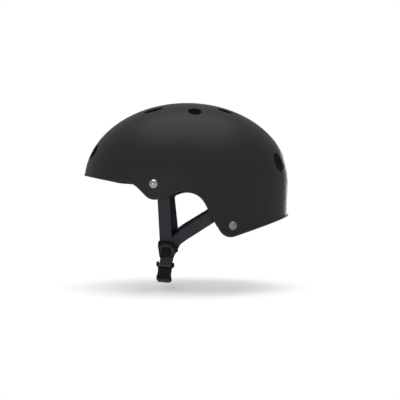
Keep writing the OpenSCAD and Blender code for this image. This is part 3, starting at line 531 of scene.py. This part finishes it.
def build_trim():
    """Rubber U-channel with a rounded foot, following the shell's lower edge."""
    line_turns = []
    base = EDGE[(EDGE[:, 0] > -130) & (EDGE[:, 0] < 130)]
    for x, z in base:
        line_turns.append(math.acos(max(-1, min(1, x / (HALF_L * float(plan_scale(z, 0)))))))
    extra = np.linspace(0, math.pi, 241)
    turns = np.unique(np.round(np.concatenate([np.array(line_turns), extra]), 5))
    keep = [turns[0]]
    for t in turns[1:]:
        if t - keep[-1] > 0.004:
            keep.append(t)
    keep[-1] = math.pi
    turns = np.array(keep)
    # Its section: height over the edge, and depth in from the shell's outside
    profile = [
        (0.0, 0.45), (0.0, WALL - 0.45), (0.1, WALL + 0.15), (0.35, WALL + 0.5), (0.8, WALL + TRIM_LIP),
        (2.35, WALL + TRIM_LIP), (2.68, WALL + 0.58), (2.8, WALL + 0.36), (2.7, WALL + 0.12),
        (2.4, WALL + 0.05), (TRIM_BASE, WALL + FIT), (TRIM_BASE, -FIT), (2.4, -0.05), (2.7, -0.12),
        (2.8, -0.34), (2.68, -0.58), (2.35, -TRIM_LIP), (0.95, -TRIM_LIP), (0.45, -0.52), (0.12, -0.1),
    ]
    both = np.concatenate([turns, 2 * math.pi - turns[1:-1][::-1]])
    rings = [np.stack(rim_points(both, inset, d), axis=1) for d, inset in profile]
    n, m = len(both), len(profile)
    verts = [rings[j][i] for i in range(n) for j in range(m)]
    faces = [(i * m + j, i * m + (j + 1) % m, ((i + 1) % n) * m + (j + 1) % m, ((i + 1) % n) * m + j)
             for i in range(n) for j in range(m)]
    trim = mesh_object("edge_trim_rubber", verts, faces, 60)
    outward(trim)
    shade(trim, 60)
    return finish_piece(trim, M_TRIM, "helmet", "trim", "edge_trim")


build_trim()


# Webbing
def turned(v, axis, degrees):
    return np.array(Matrix.Rotation(math.radians(degrees), 3, axis) @ Vector(v))


WALL_TILT = math.degrees(math.atan(math.tan(math.radians(DRAW)) * HALF_W / HALF_L))


def wall_turn(p):
    """How far the shell's side has turned at a point p of x and z."""
    return math.degrees(math.atan2(p[0] / HALF_L ** 2, wall_y(p[0], p[1], 0) / HALF_W ** 2))


def at_rivet_turn(p, q):
    return turned(turned(q, "X", WALL_TILT), "Z", wall_turn(p))


def at_rivet_point(p, q):
    """A point q of a rivet's own frame, for the rivet at p."""
    return np.array([p[0], -wall_y(p[0], p[1], 0), p[1]]) + at_rivet_turn(p, q)


def behind_wall(p, depth):
    """The point at x and z that lies depth behind the left wall."""
    return np.array([p[0], -wall_y(p[0], p[1], WALL + depth), p[1]])


def across_wall(p, angle, depth):
    """The direction along the wall across a strap that runs at an angle through p."""
    w = np.array([math.cos(math.radians(angle + 90)), math.sin(math.radians(angle + 90))])
    p = np.array(p[:2])
    return unit(behind_wall(p + w, depth) - behind_wall(p - w, depth))


STRAP_START = behind_wall(FRONT_EXIT, STRAP_DEPTH)


def turn_strap(q, side):
    """A direction of a side's strap frame: leaning inwards, and swaying back by side[0] degrees."""
    return turned(turned(q, "Y", -side[0]), "X", STRAP_LEAN)


def on_strap(q, side):
    return STRAP_START + turn_strap(q, side)


def on_divider(q, side):
    """A point of a side's strap frame, raised by side[1] as its divider is."""
    return on_strap(np.array(q, float) + [0, 0, side[1]], side)


def mirrored(v):
    return np.array([v[0], -v[1], v[2]])


STRAP_TUCK = 9.5
DIVIDER_END = STRAP_LEN + DIVIDER_LEN
CHIN_START = DIVIDER_END - 1.5


def chin_turn(q):
    return turn_strap(turned(q, "Y", CHIN_LEAN + LEFT[0]), LEFT)


def on_chin(q):
    return on_strap(np.array([0, 0, -CHIN_START]) + turned(q, "Y", CHIN_LEAN + LEFT[0]), LEFT)


BAR_DEPTH = WALL + STANDOFF + HANGER_T / 2
LOOP_R = HANGER_T / 2 + LOOP_GAP + STRAP_T / 2
BAR_LOOP = BAR_R + LOOP_GAP + STRAP_T / 2
PLUG_BAR = SOCKET_BAR + BAR_SPAN
LOOP_TAIL = 5.5


def hanger_loop(p, bar):
    """The strap's loop round the bar of the hanger at rivet p, with its sewn tail."""
    a = math.radians(bar[2])
    e, d = np.array([math.cos(a), 0, math.sin(a)]), np.array([0, 1, 0])
    c = np.array([bar[0], BAR_DEPTH, bar[1]])
    pts = [c + LOOP_TAIL * e + 0.7 * LOOP_R * d, c + 0.5 * LOOP_TAIL * e + 0.9 * LOOP_R * d]
    for t in range(90, -91, -20):
        s, k = math.sin(math.radians(t)), math.cos(math.radians(t))
        pts.append(c + LOOP_R * (s * d - k * e))
    pts.append(c + 0.4 * LOOP_TAIL * e - LOOP_R * d)
    return [at_rivet_point(p, q) for q in pts]


def hanger_across(p, bar):
    a = math.radians(bar[2] + 90)
    return at_rivet_turn(p, [math.cos(a), 0, math.sin(a)])


def smooth_path(points, across, step):
    """Points about step apart on a smooth curve through the given ones, with the widths between."""
    p = [2 * points[0] - points[1]] + list(points) + [2 * points[-1] - points[-2]]
    out, wide = [], []
    for i in range(1, len(p) - 2):
        p0, p1, p2, p3 = p[i - 1], p[i], p[i + 1], p[i + 2]
        l0, l1, l2 = (max(1e-6, np.linalg.norm(b - a)) for a, b in ((p0, p1), (p1, p2), (p2, p3)))
        m1 = (p2 - p1) / l1 * l0 / (l0 + l1) + (p1 - p0) / l0 * l1 / (l0 + l1)
        m2 = (p3 - p2) / l2 * l1 / (l1 + l2) + (p2 - p1) / l1 * l2 / (l1 + l2)
        n = max(1, int(round(l1 / step)))
        for k in range(n):
            t = k / n
            from_p1, from_m1 = 2 * t ** 3 - 3 * t ** 2 + 1, t ** 3 - 2 * t ** 2 + t
            from_p2, from_m2 = 3 * t ** 2 - 2 * t ** 3, t ** 3 - t ** 2
            out.append(from_p1 * p1 + from_m1 * l1 * m1 + from_p2 * p2 + from_m2 * l1 * m2)
            wide.append(unit(across[i - 1] * (1 - t) + across[min(i, len(across) - 1)] * t))
    out.append(points[-1])
    wide.append(unit(across[-1]))
    return out, wide


def webbing(name, points, across, step=1.1, ribs=7, ends=(True, True), side=1):
    """Woven strap with soft edges and shallow ribs along its length, with a UV map in metres."""
    pts, wide = smooth_path([np.array(p, float) for p in points], across, step)
    half_w, half_t, soft = STRAP_W / 2 - 0.05, STRAP_T / 2 - 0.04, 0.62
    profile = []
    n_across = 4 * ribs
    for s in (1, -1):
        for k in range(n_across + 1):
            u = -1 + 2 * k / n_across
            x = s * u * (half_w - soft)
            rib = 0.05 * math.cos(2 * math.pi * ribs * (u + 1) / 2) * (1 - abs(u) ** 8)
            profile.append((x, s * (half_t - 0.07 + rib)))
        for t in (25, 55, 90, 125, 155):
            a = math.radians(t)
            profile.append((s * (half_w - soft + soft * math.sin(a)), s * (half_t - 0.1) * math.cos(a)))
    m = len(profile)
    verts, uvs, length = [], [], 0.0
    n = len(pts)
    for i in range(n):
        t = unit(pts[min(i + 1, n - 1)] - pts[max(i - 1, 0)])
        w = unit(wide[i] - (wide[i] @ t) * t)
        nrm = np.cross(t, w)
        if i:
            length += np.linalg.norm(pts[i] - pts[i - 1])
        for x, y in profile:
            verts.append(pts[i] + x * w + y * nrm)
            uvs.append((x * MM, length * MM))
    faces = [(i * m + j, i * m + (j + 1) % m, (i + 1) * m + (j + 1) % m, (i + 1) * m + j)
             for i in range(n - 1) for j in range(m)]
    faces += [tuple(range(m))[::-1], tuple((n - 1) * m + j for j in range(m))]
    if side < 0:
        verts = [mirrored(v) for v in verts]
    ob = mesh_object(name, verts, faces, 50)
    layer = ob.data.uv_layers.new(name="weave")
    index = np.zeros(len(ob.data.loops), np.int32)
    ob.data.loops.foreach_get("vertex_index", index)
    layer.data.foreach_set("uv", np.array(uvs)[index].ravel())
    outward(ob)
    shade(ob, 50)
    return ob


def front_path(side):
    """Points of a front strap, drawn on the left, and the direction of its width at each."""
    loop = hanger_loop(FRONT_RIVET, FRONT_BAR)
    across_hanger = hanger_across(FRONT_RIVET, FRONT_BAR)
    across_exit = across_wall(FRONT_EXIT, -90, STRAP_DEPTH)
    inside = [behind_wall((FRONT_EXIT[0], z), STRAP_DEPTH) for z in (FRONT_EXIT[1] + 3, FRONT_EXIT[1])]
    length = STRAP_LEN - side[1]
    zs = [s * length for s in (0.07, 0.31, 0.62, 1)] + [length + STRAP_TUCK]
    outside = [on_strap([0, 0, -z], side) for z in zs]
    x = turn_strap([1.0, 0, 0], side)
    across = [across_hanger] * len(loop) + [across_exit] * 2
    across += [unit(across_exit + (x - across_exit) * min(1, z / length)) for z in zs]
    return loop + inside + outside, across


REAR_LAYER, REAR_FLAT, REAR_TUCK = 2.2, 14.0, 7.0
REAR_ENTRY = np.array([8.0, REAR_LAYER, -STRAP_LEN - 5.3])
REAR_START = behind_wall(REAR_EXIT, STRAP_DEPTH)


def rear_step(side):
    """The rear strap's direction in the divider's frame."""
    local = turned(REAR_START - STRAP_START, "X", -STRAP_LEAN)
    way = turned(local, "Y", side[0]) - [0, 0, side[1]] - REAR_ENTRY
    return unit([way[0], 0, way[2]])


def rear_path(side):
    """Points of a rear strap, drawn on the left, and the direction of its width at each."""
    loop = hanger_loop(REAR_RIVET, REAR_BAR)
    across_hanger = hanger_across(REAR_RIVET, REAR_BAR)
    step, entry = rear_step(side), on_divider(REAR_ENTRY, side)
    slope = math.degrees(math.atan2(REAR_EXIT[1] - entry[2], REAR_EXIT[0] - entry[0]))
    across_exit = -across_wall(REAR_EXIT, slope, STRAP_DEPTH)
    across_entry = turn_strap([step[2], 0, -step[0]], side)
    turn = math.radians(wall_turn(REAR_RIVET))
    target = np.array([REAR_RIVET[0] + REAR_BAR[0] * math.cos(turn), REAR_RIVET[1] + REAR_BAR[1]])
    way_in = target - np.array(REAR_EXIT)
    inside = [behind_wall(np.array(REAR_EXIT) + way_in * t, STRAP_DEPTH) for t in (0.42, 0.21)]
    flat_end = on_divider(REAR_ENTRY + REAR_FLAT * step, side)
    outside = [REAR_START + (flat_end - REAR_START) * t for t in (0, 0.25, 0.5, 0.75, 1)]
    pts = loop + inside + outside + [entry, on_divider(REAR_ENTRY - REAR_TUCK * step, side)]
    across = [across_hanger] * len(loop)
    across += [unit(across_hanger * (1 - t) + across_exit * t) for t in (0.5, 0.8)]
    across += [unit(across_exit * (1 - t) + across_entry * t) for t in (0, 0.25, 0.5, 0.75, 1, 1, 1)]
    return pts, across


def chin_left_path():
    """From the left divider round the socket's bar and back."""
    pts = [on_strap([0, 0, -STRAP_LEN - STRAP_TUCK - 1], LEFT), on_strap([0, 0, -CHIN_START], LEFT)]
    q = [[0, 0, -1], [0, 0, -3], [0, -0.3, -6], [0, -1.2, -9], [0, -BAR_LOOP, -SOCKET_BAR + 1.5]]
    q += [[0, -BAR_LOOP * math.cos(math.radians(a)), -SOCKET_BAR - BAR_LOOP * math.sin(math.radians(a))]
          for a in range(0, 181, 20)]
    q += [[0, BAR_LOOP, -SOCKET_BAR + 1.5], [0, 1.4, -9.5], [0, 1.7, -5]]
    pts += [on_chin(p) for p in q]
    return pts, [turn_strap([1, 0, 0], LEFT)] * 2 + [chin_turn([1, 0, 0])] * (len(pts) - 2)


# Places of the right chin strap: shares of the way from the plug's bar to where it leaves
# the right divider, across, up and back
CHIN_OUT = mirrored(on_divider([0, 0, -DIVIDER_END - 1], RIGHT))
CHIN_END = on_chin([0, 0, -PLUG_BAR])
UNDER_CHIN = [(0.985, 0.92, 0.82), (0.94, 0.66, 0.3), (0.87, 0.33, -0.02), (0.77, 0.06, -0.14),
              (0.64, -0.075, -0.16), (0.53, -0.1, -0.14), (0.3, -0.1, -0.08), (0.205, -0.06, -0.04),
              (0.12, -0.005, -0.01)]
TAIL = [(0.09, -0.095, 0), (0.2, -0.145, -0.04), (0.3, -0.172, -0.08), (0.53, -0.172, -0.14)]


def chin_place(q):
    return CHIN_END + (CHIN_OUT - CHIN_END) * [q[2], q[0], q[1]]


def chin_right_path():
    """From the right divider under the chin, round the plug's bar, and back as the loose tail."""
    pts = [mirrored(on_divider([0, 0, -STRAP_LEN - STRAP_TUCK - 1], RIGHT)), CHIN_OUT]
    pts += [chin_place(q) for q in UNDER_CHIN]
    turns = [math.radians(a) for a in range(60, -121, -20)]
    ring = [on_chin([0, BAR_LOOP * math.sin(a), -PLUG_BAR + BAR_LOOP * math.cos(a)]) for a in turns]
    pts += ring + [chin_place(q) for q in TAIL]
    far, near = mirrored(turn_strap([1, 0, 0], RIGHT)), chin_turn([1, 0, 0])
    shares = [1, 1] + [q[0] for q in UNDER_CHIN] + [0] * len(ring) + [q[0] for q in TAIL]
    return pts, [unit(near + (far - near) * s) for s in shares]


pts, across = front_path(LEFT)
finish_piece(webbing("webbing_front_left", pts, across), M_WEB, "helmet", "webbing", "front_strap_left")
pts, across = front_path(RIGHT)
front_right = webbing("webbing_front_right", pts, across, side=-1)
front_right.data.materials.append(M_WEB)
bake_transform(front_right)
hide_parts("front_strap_right")

pts, across = rear_path(LEFT)
finish_piece(webbing("webbing_rear_left", pts, across), M_WEB, "helmet", "webbing", "rear_strap_left")
pts, across = rear_path(RIGHT)
rear_right = webbing("webbing_rear_right", pts, across, side=-1)
rear_right.data.materials.append(M_WEB)
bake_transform(rear_right)
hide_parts("rear_strap_right")

pts, across = chin_left_path()
finish_piece(webbing("webbing_chin_left", pts, across), M_WEB, "helmet", "webbing", "chin_strap_left")
pts, across = chin_right_path()
finish_piece(webbing("webbing_chin_right", pts, across), M_WEB, "right_harness", "webbing",
             "chin_strap_right")


# Pads
def cavity_point(turn, tilt, inset):
    """A point of the hollow inside the foam, by turn and tilt in degrees, inset from the foam."""
    t, drop = min(tilt, 90), max(0, tilt - 90) * 1.6
    t = math.radians(t)
    k = math.sin(t) * (1 - drop * math.tan(math.radians(DRAW)) / CAVITY[0])
    return np.array([(CAVITY[0] - inset) * k * math.cos(math.radians(turn)),
                     (CAVITY[1] - inset) * k * math.sin(math.radians(turn)),
                     WIDEST + (CAVITY[2] - inset) * math.cos(t) - drop])


PAD_BASE, PAD_THICK, PAD_RIM = 1.8, 7.0, 2.0
# The cushions stay a little inside the CAD pads
PAD_CLEAR, PAD_FILL = 0.05, 0.98
PIPING_R = 0.75
CROWN_TILT, CROWN_HALF = 19, 6


def rounded_square(u, v, soft=0.55):
    """Maps the square -1..1 so that its corners come in as on a cut pad."""
    d = max(abs(u), abs(v))
    if d == 0:
        return u, v
    x, y = u / d, v / d
    power = 5.0
    k = (abs(x) ** power + abs(y) ** power) ** (-1 / power)
    k = 1 + (k - 1) * d ** 2
    return u * k, v * k


def sheet_faces(n, m):
    """Faces of two n by m grids, back and front, closed round their rim, and the rim's places."""
    faces = []
    w = m + 1
    q = (n + 1) * w
    for i in range(n):
        for j in range(m):
            a, b, c, d = i * w + j, (i + 1) * w + j, (i + 1) * w + j + 1, i * w + j + 1
            faces += [(a, b, c, d), (q + a, q + d, q + c, q + b)]
    rim = [i * w for i in range(n + 1)] + [n * w + j for j in range(1, w)]
    rim += [i * w + m for i in range(n - 1, -1, -1)] + [j for j in range(m - 1, 0, -1)]
    faces += [(a, q + a, q + b, b) for a, b in zip(rim, rim[1:] + rim[:1])]
    return faces, rim


def pad_surface(turns, tilts, n, m):
    """Back and front of a cushion over a patch of the liner, with softly rounded corners."""
    verts = []
    tm, th = (turns[0] + turns[1]) / 2, (turns[1] - turns[0]) / 2
    lm, lh = (tilts[0] + tilts[1]) / 2, (tilts[1] - tilts[0]) / 2
    for layer in (0, 1):
        for i in range(n + 1):
            for j in range(m + 1):
                u, v = -1 + 2 * i / n, -1 + 2 * j / m
                x, y = rounded_square(u, v)
                e = max(abs(u), abs(v))
                dome = math.sqrt(max(0, (1 - abs(u) ** 4) * (1 - abs(v) ** 3)))
                puck = 0.16 * math.sin(9 * x * th / 10 + 3) * math.sin(7 * y) * (1 - e) * e * 4
                rise = PAD_RIM + (PAD_THICK - PAD_RIM) * dome + puck if layer else 0.0
                if layer and e > 0.999:
                    rise = PAD_RIM
                inset = PAD_BASE + PAD_CLEAR + rise * PAD_FILL
                verts.append(cavity_point(tm + th * x * 0.995, lm + lh * y * 0.995, inset))
    faces, rim = sheet_faces(n, m)
    q = len(verts) // 2
    return verts, faces, [verts[q + i] for i in rim], [verts[i] for i in rim]


def build_pad(name, cad, turns, tilts, n, m, mirror=False):
    verts, faces, front_rim, back_rim = pad_surface(turns, tilts, n, m)
    seam = [f * 0.62 + b * 0.38 for f, b in zip(front_rim, back_rim)]
    if mirror:
        verts = [v * [1, -1, 1] for v in verts]
        seam = [v * [1, -1, 1] for v in seam]
    pad = mesh_object(name, verts, faces, None)
    outward(pad)
    sub = pad.modifiers.new("soft", "SUBSURF")
    sub.levels = sub.render_levels = 1
    bake_modifiers(pad)
    shade(pad, None)
    finish_piece(pad, M_PAD, "helmet", "padding", cad)
    piping = joined(name + "_piping", [tube("", seam, PIPING_R, 8, True)], 60)
    finish_piece(piping, M_PIPING, "helmet", "padding")
    return pad


build_pad("brow_cushion", "brow_pad", (130, 230), (56, 78), 46, 16)
build_pad("side_cushion_left", "side_pad_left", (66, 114), (62, 89), 26, 16, True)
build_pad("side_cushion_right", "side_pad_right", (66, 114), (62, 89), 26, 16)
build_pad("rear_cushion", "rear_pad", (-34, 34), (84, 104), 36, 16)


def build_crown_pad():
    """Ring cushion round the crown vent, sewn along both rims."""
    n, m = 96, 14
    verts, faces = [], []
    for i in range(n):
        turn = 360 * i / n
        for j in range(2 * m):
            if j <= m:
                v = -1 + 2 * j / m
                puck = 0.25 * math.cos(8 * math.radians(turn)) * (1 - v * v)
                rise = PAD_RIM + (PAD_THICK - PAD_RIM - 0.4) * math.sqrt(max(0, 1 - abs(v) ** 3)) + puck
            else:
                v = 1 - 2 * (j - m) / m
                rise = 0.0
            inset = PAD_BASE + PAD_CLEAR + rise * PAD_FILL
            verts.append(cavity_point(turn, CROWN_TILT + CROWN_HALF * v * 0.97, inset))
    w = 2 * m
    for i in range(n):
        here, there = i * w, ((i + 1) % n) * w
        for j in range(w):
            faces.append((here + j, there + j, there + (j + 1) % w, here + (j + 1) % w))
    pad = mesh_object("crown_cushion", verts, faces, None)
    outward(pad)
    shade(pad, None)
    finish_piece(pad, M_PAD, "helmet", "padding", "crown_pad")
    rims = []
    for tilt in (CROWN_TILT - CROWN_HALF + 0.1, CROWN_TILT + CROWN_HALF - 0.1):
        line = [cavity_point(360 * i / n, tilt, PAD_BASE + 0.6 * PAD_RIM) for i in range(n)]
        rims.append(tube("", line, PIPING_R, 8, True))
    finish_piece(joined("crown_cushion_piping", rims, 60), M_PIPING, "helmet", "padding")


build_crown_pad()

# Hook-and-loop patches: turn and tilt of the middle, and half sizes, all in degrees
PATCHES = [(150, 67, 9, 5), (180, 67, 9, 5), (210, 67, 9, 5), (90, 76, 9, 6), (-90, 76, 9, 6),
           (-17, 93, 7, 5), (17, 93, 7, 5), (0, 19, 22, 4), (180, 19, 22, 4)]


def build_patches():
    parts = []
    for turn, tilt, du, dv in PATCHES:
        n, m = 12, 8
        verts = []
        for inset in (0.35, 1.45):
            for i in range(n + 1):
                for j in range(m + 1):
                    u, v = rounded_square(-1 + 2 * i / n, -1 + 2 * j / m)
                    verts.append(cavity_point(turn + du * u * 0.99, tilt + dv * v * 0.99, inset))
        parts.append((verts, sheet_faces(n, m)[0]))
    finish_piece(joined("hook_patches", parts, 50), M_HOOK, "helmet", "patches", "pad_patches")


build_patches()


# CAD pieces that stay
def dress(names, material, width=None, segments=3, angle=32):
    """Gives CAD pieces their material and, with a width in millimetres, softened edges."""
    for n in names:
        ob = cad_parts[n]
        ob.data.materials.clear()
        ob.data.materials.append(material)
        if width:
            weld = ob.modifiers.new("weld", "WELD")
            weld.merge_threshold = 0.000004
            flat = ob.modifiers.new("flat", "DECIMATE")
            flat.decimate_type = "DISSOLVE"
            flat.angle_limit = math.radians(1.5)
            bevel = ob.modifiers.new("edges", "BEVEL")
            bevel.width = width * MM
            bevel.segments = segments
            bevel.limit_method = "ANGLE"
            bevel.angle_limit = math.radians(angle)
            bevel.harden_normals = False
            bevel.use_clamp_overlap = True


dress(["foam_liner"], M_FOAM)
dress(["rivets"], M_RIVET)
dress(["rivet_washers"], M_STEEL)
dress(["cam_pin_left", "cam_pin_right"], M_PIN)
dress(["divider_left", "divider_right"], M_FITTING, 0.5)
dress(["cam_lever_left", "cam_lever_right"], M_LEVER, 0.4)
dress(["buckle_socket", "buckle_plug"], M_BUCKLE, 0.35)
dress(["latch_arm_front", "latch_arm_rear"], M_BUCKLE, 0.3)
dress(["strap_keeper"], M_FITTING, 0.25)
dress(["front_hanger_left", "front_hanger_right", "rear_hanger_left", "rear_hanger_right"], M_HANGER, 0.3)

LEVER_Z, LEVER_DROP, DISH_FLOOR = -STRAP_LEN - 8.4, 5.6, -3.9
# The dish of a divider round the lever's middle: its outline's corners, x and z
DISH = [(-8.4, 10.1), (0, 14), (14.1, 2), (8.5, -2.8), (7.2, -5.3), (-7.2, -5.3)]


def dish_reach(turn, largest=10.95, margin=0.35):
    """How far the dish goes from the lever's middle in a direction, less a margin."""
    d = np.array([math.cos(turn), math.sin(turn)])
    for a, b in zip(DISH, DISH[1:] + DISH[:1]):
        a, e = np.array(a, float), np.array(b, float) - a
        area = d[0] * e[1] - d[1] * e[0]
        far, share = (a[0] * e[1] - a[1] * e[0]) / area, (a[0] * d[1] - a[1] * d[0]) / area
        if far > 0 and 0 <= share <= 1:
            largest = min(largest, far - margin)
    return largest


def build_painted_light_crescent(name, body, side, flip):
    """Matt crescent in a divider's dish, clear of the lever and of its hinge, coloured lighter as painted
    light falling on the dish.
    """
    rows, verts = 60, []
    profile = [(0, 0.0), (0, 0.22), (0.12, 0.3), (0.88, 0.3), (1, 0.22), (1, 0.0)]
    for i in range(rows + 1):
        turn = math.radians(-38 + 236 * i / rows)
        inner = 6.6
        if math.sin(turn) > 0.3:
            inner = max(inner, min(5.7 / max(1e-6, abs(math.cos(turn))), 7.9 / math.sin(turn)))
        outer = max(inner + 0.3, dish_reach(turn))
        for share, lift in profile:
            r = inner + (outer - inner) * share
            p = [r * math.cos(turn), DISH_FLOOR - lift + 0.02, LEVER_Z - LEVER_DROP + r * math.sin(turn)]
            q = on_divider(p, side)
            verts.append(mirrored(q) if flip else q)
    m = len(profile)
    faces = [(i * m + j, i * m + (j + 1) % m, (i + 1) * m + (j + 1) % m, (i + 1) * m + j)
             for i in range(rows) for j in range(m)]
    faces += [tuple(range(m))[::-1], tuple(rows * m + j for j in range(m))]
    painted_crescent = mesh_object(name, verts, faces, 40)
    outward(painted_crescent)
    shade(painted_crescent, 40)
    return finish_piece(painted_crescent, M_PAINTED_LIGHT, body, "fittings")


# Crescents of painted light in both dividers' dishes
build_painted_light_crescent("divider_painted_light_left", "helmet", LEFT, False)
build_painted_light_crescent("divider_painted_light_right", "right_harness", RIGHT, True)

# Camera, floor and light
CAMERA = (0.0174, -1.0, -0.0334)
SENSOR, FOCAL_PIXELS, PICTURE_PIXELS = 36.0, 746.55, 400
cam_data = bpy.data.cameras.new("camera")
cam = bpy.data.objects.new("camera", cam_data)
scene.collection.objects.link(cam)
scene.camera = cam
cam.location = CAMERA
cam.rotation_euler = (math.radians(90), 0, 0)
cam_data.sensor_width = SENSOR
cam_data.lens = SENSOR * FOCAL_PIXELS / PICTURE_PIXELS
cam_data.clip_start, cam_data.clip_end = 0.01, 60

FLOOR_Z, FLOOR_HALF = -0.1505, 12.0
# Where the floor's shadow starts and ends to fade into plain white
FADE_START, FADE_END = 0.17, 0.4


def emission(nt, strength, colour=(1, 1, 1)):
    n = node(nt, "ShaderNodeEmission", Strength=strength)
    n.inputs["Color"].default_value = (*colour, 1)
    return n.outputs[0]


def mix_shader(nt, factor, first, second):
    n = nt.nodes.new("ShaderNodeMixShader")
    for socket, output in zip(n.inputs, (factor, first, second)):
        nt.links.new(output, socket)
    return n.outputs[0]


def build_floor():
    """White floor that keeps the object's shadow, with plainer light for rays that the camera doesn't see."""
    me = bpy.data.meshes.new("floor")
    corners = [(x * FLOOR_HALF, y * FLOOR_HALF, FLOOR_Z) for x, y in ((-1, -1), (1, -1), (1, 1), (-1, 1))]
    me.from_pydata(corners, [], [(0, 1, 2, 3)])
    floor = bpy.data.objects.new("floor", me)
    scene.collection.objects.link(floor)
    mat = bpy.data.materials.new("floor_white")
    mat.use_nodes = True
    nt = mat.node_tree
    nt.nodes.clear()
    out = nt.nodes.new("ShaderNodeOutputMaterial")
    path = nt.nodes.new("ShaderNodeLightPath")
    diffuse = nt.nodes.new("ShaderNodeBsdfDiffuse")
    diffuse.inputs["Color"].default_value = (0.90, 0.92, 0.89, 1)
    lit = nt.nodes.new("ShaderNodeAddShader")
    nt.links.new(diffuse.outputs[0], lit.inputs[0])
    nt.links.new(emission(nt, 0.345, (0.97, 0.96, 1.0)), lit.inputs[1])
    length = node(nt, "ShaderNodeVectorMath", operation="LENGTH")
    nt.links.new(coords(nt), length.inputs[0])
    away = nt.nodes.new("ShaderNodeMapRange")
    away.interpolation_type = "SMOOTHSTEP"
    away.inputs["From Min"].default_value, away.inputs["From Max"].default_value = FADE_START, FADE_END
    nt.links.new(length.outputs["Value"], away.inputs["Value"])
    faded = mix_shader(nt, away.outputs["Result"], lit.outputs[0], emission(nt, 1.0))
    unseen = mix_shader(nt, path.outputs["Is Glossy Ray"], emission(nt, 1.0), emission(nt, 0.45))
    pick = mix_shader(nt, path.outputs["Is Camera Ray"], unseen, faded)
    nt.links.new(pick, out.inputs["Surface"])
    me.materials.append(mat)


build_floor()


def build_world():
    """Even soft light, a greyer surround for reflections, and white for the camera."""
    world = bpy.data.worlds.new("studio")
    scene.world = world
    world.use_nodes = True
    nt = world.node_tree
    nt.nodes.clear()
    out = nt.nodes.new("ShaderNodeOutputWorld")
    path = nt.nodes.new("ShaderNodeLightPath")
    light = node(nt, "ShaderNodeBackground", Strength=0.55)
    light.inputs["Color"].default_value = (1, 1, 1, 1)
    split = nt.nodes.new("ShaderNodeSeparateXYZ")
    nt.links.new(coords(nt, "Generated"), split.inputs[0])
    mirror = nt.nodes.new("ShaderNodeBackground")
    depth = to_range(nt, split.outputs["Y"], 0.0, 1.0, -1.0)
    nt.links.new(ramp(nt, depth, [(0.45, grey(0.3)), (0.95, grey(0.36))]), mirror.inputs["Color"])
    white = node(nt, "ShaderNodeBackground", Strength=1.0)
    white.inputs["Color"].default_value = (1, 1, 1, 1)
    seen = node(nt, "ShaderNodeMath", operation="MAXIMUM")
    nt.links.new(path.outputs["Is Camera Ray"], seen.inputs[0])
    nt.links.new(path.outputs["Is Transmission Ray"], seen.inputs[1])
    reflected = mix_shader(nt, path.outputs["Is Glossy Ray"], light.outputs[0], mirror.outputs[0])
    pick = mix_shader(nt, seen.outputs[0], reflected, white.outputs[0])
    nt.links.new(pick, out.inputs["Surface"])


build_world()


def area_light(name, location, target, size, power):
    """A rectangular lamp at a place in metres, turned to a target, of a power in watts."""
    data = bpy.data.lights.new(name, "AREA")
    data.shape = "RECTANGLE"
    data.size, data.size_y = size
    data.energy = power
    lamp = bpy.data.objects.new(name, data)
    scene.collection.objects.link(lamp)
    lamp.location = location
    lamp.rotation_mode = "QUATERNION"
    lamp.rotation_quaternion = (Vector(target) - Vector(location)).to_track_quat("-Z", "Y")
    return lamp


area_light("overhead", (0, -0.15, 1.1), (0, 0, 0), (1.3, 1.1), 6.5)
area_light("front_fill", (-0.5, -1.3, -0.1), (0, 0, 0), (0.8, 0.8), 1.4)
area_light("rear_rim", (0.66, 1.26, 0.06), (0.05, 0, -0.01), (0.5, 0.42), 7)

scene.view_settings.view_transform = "Standard"
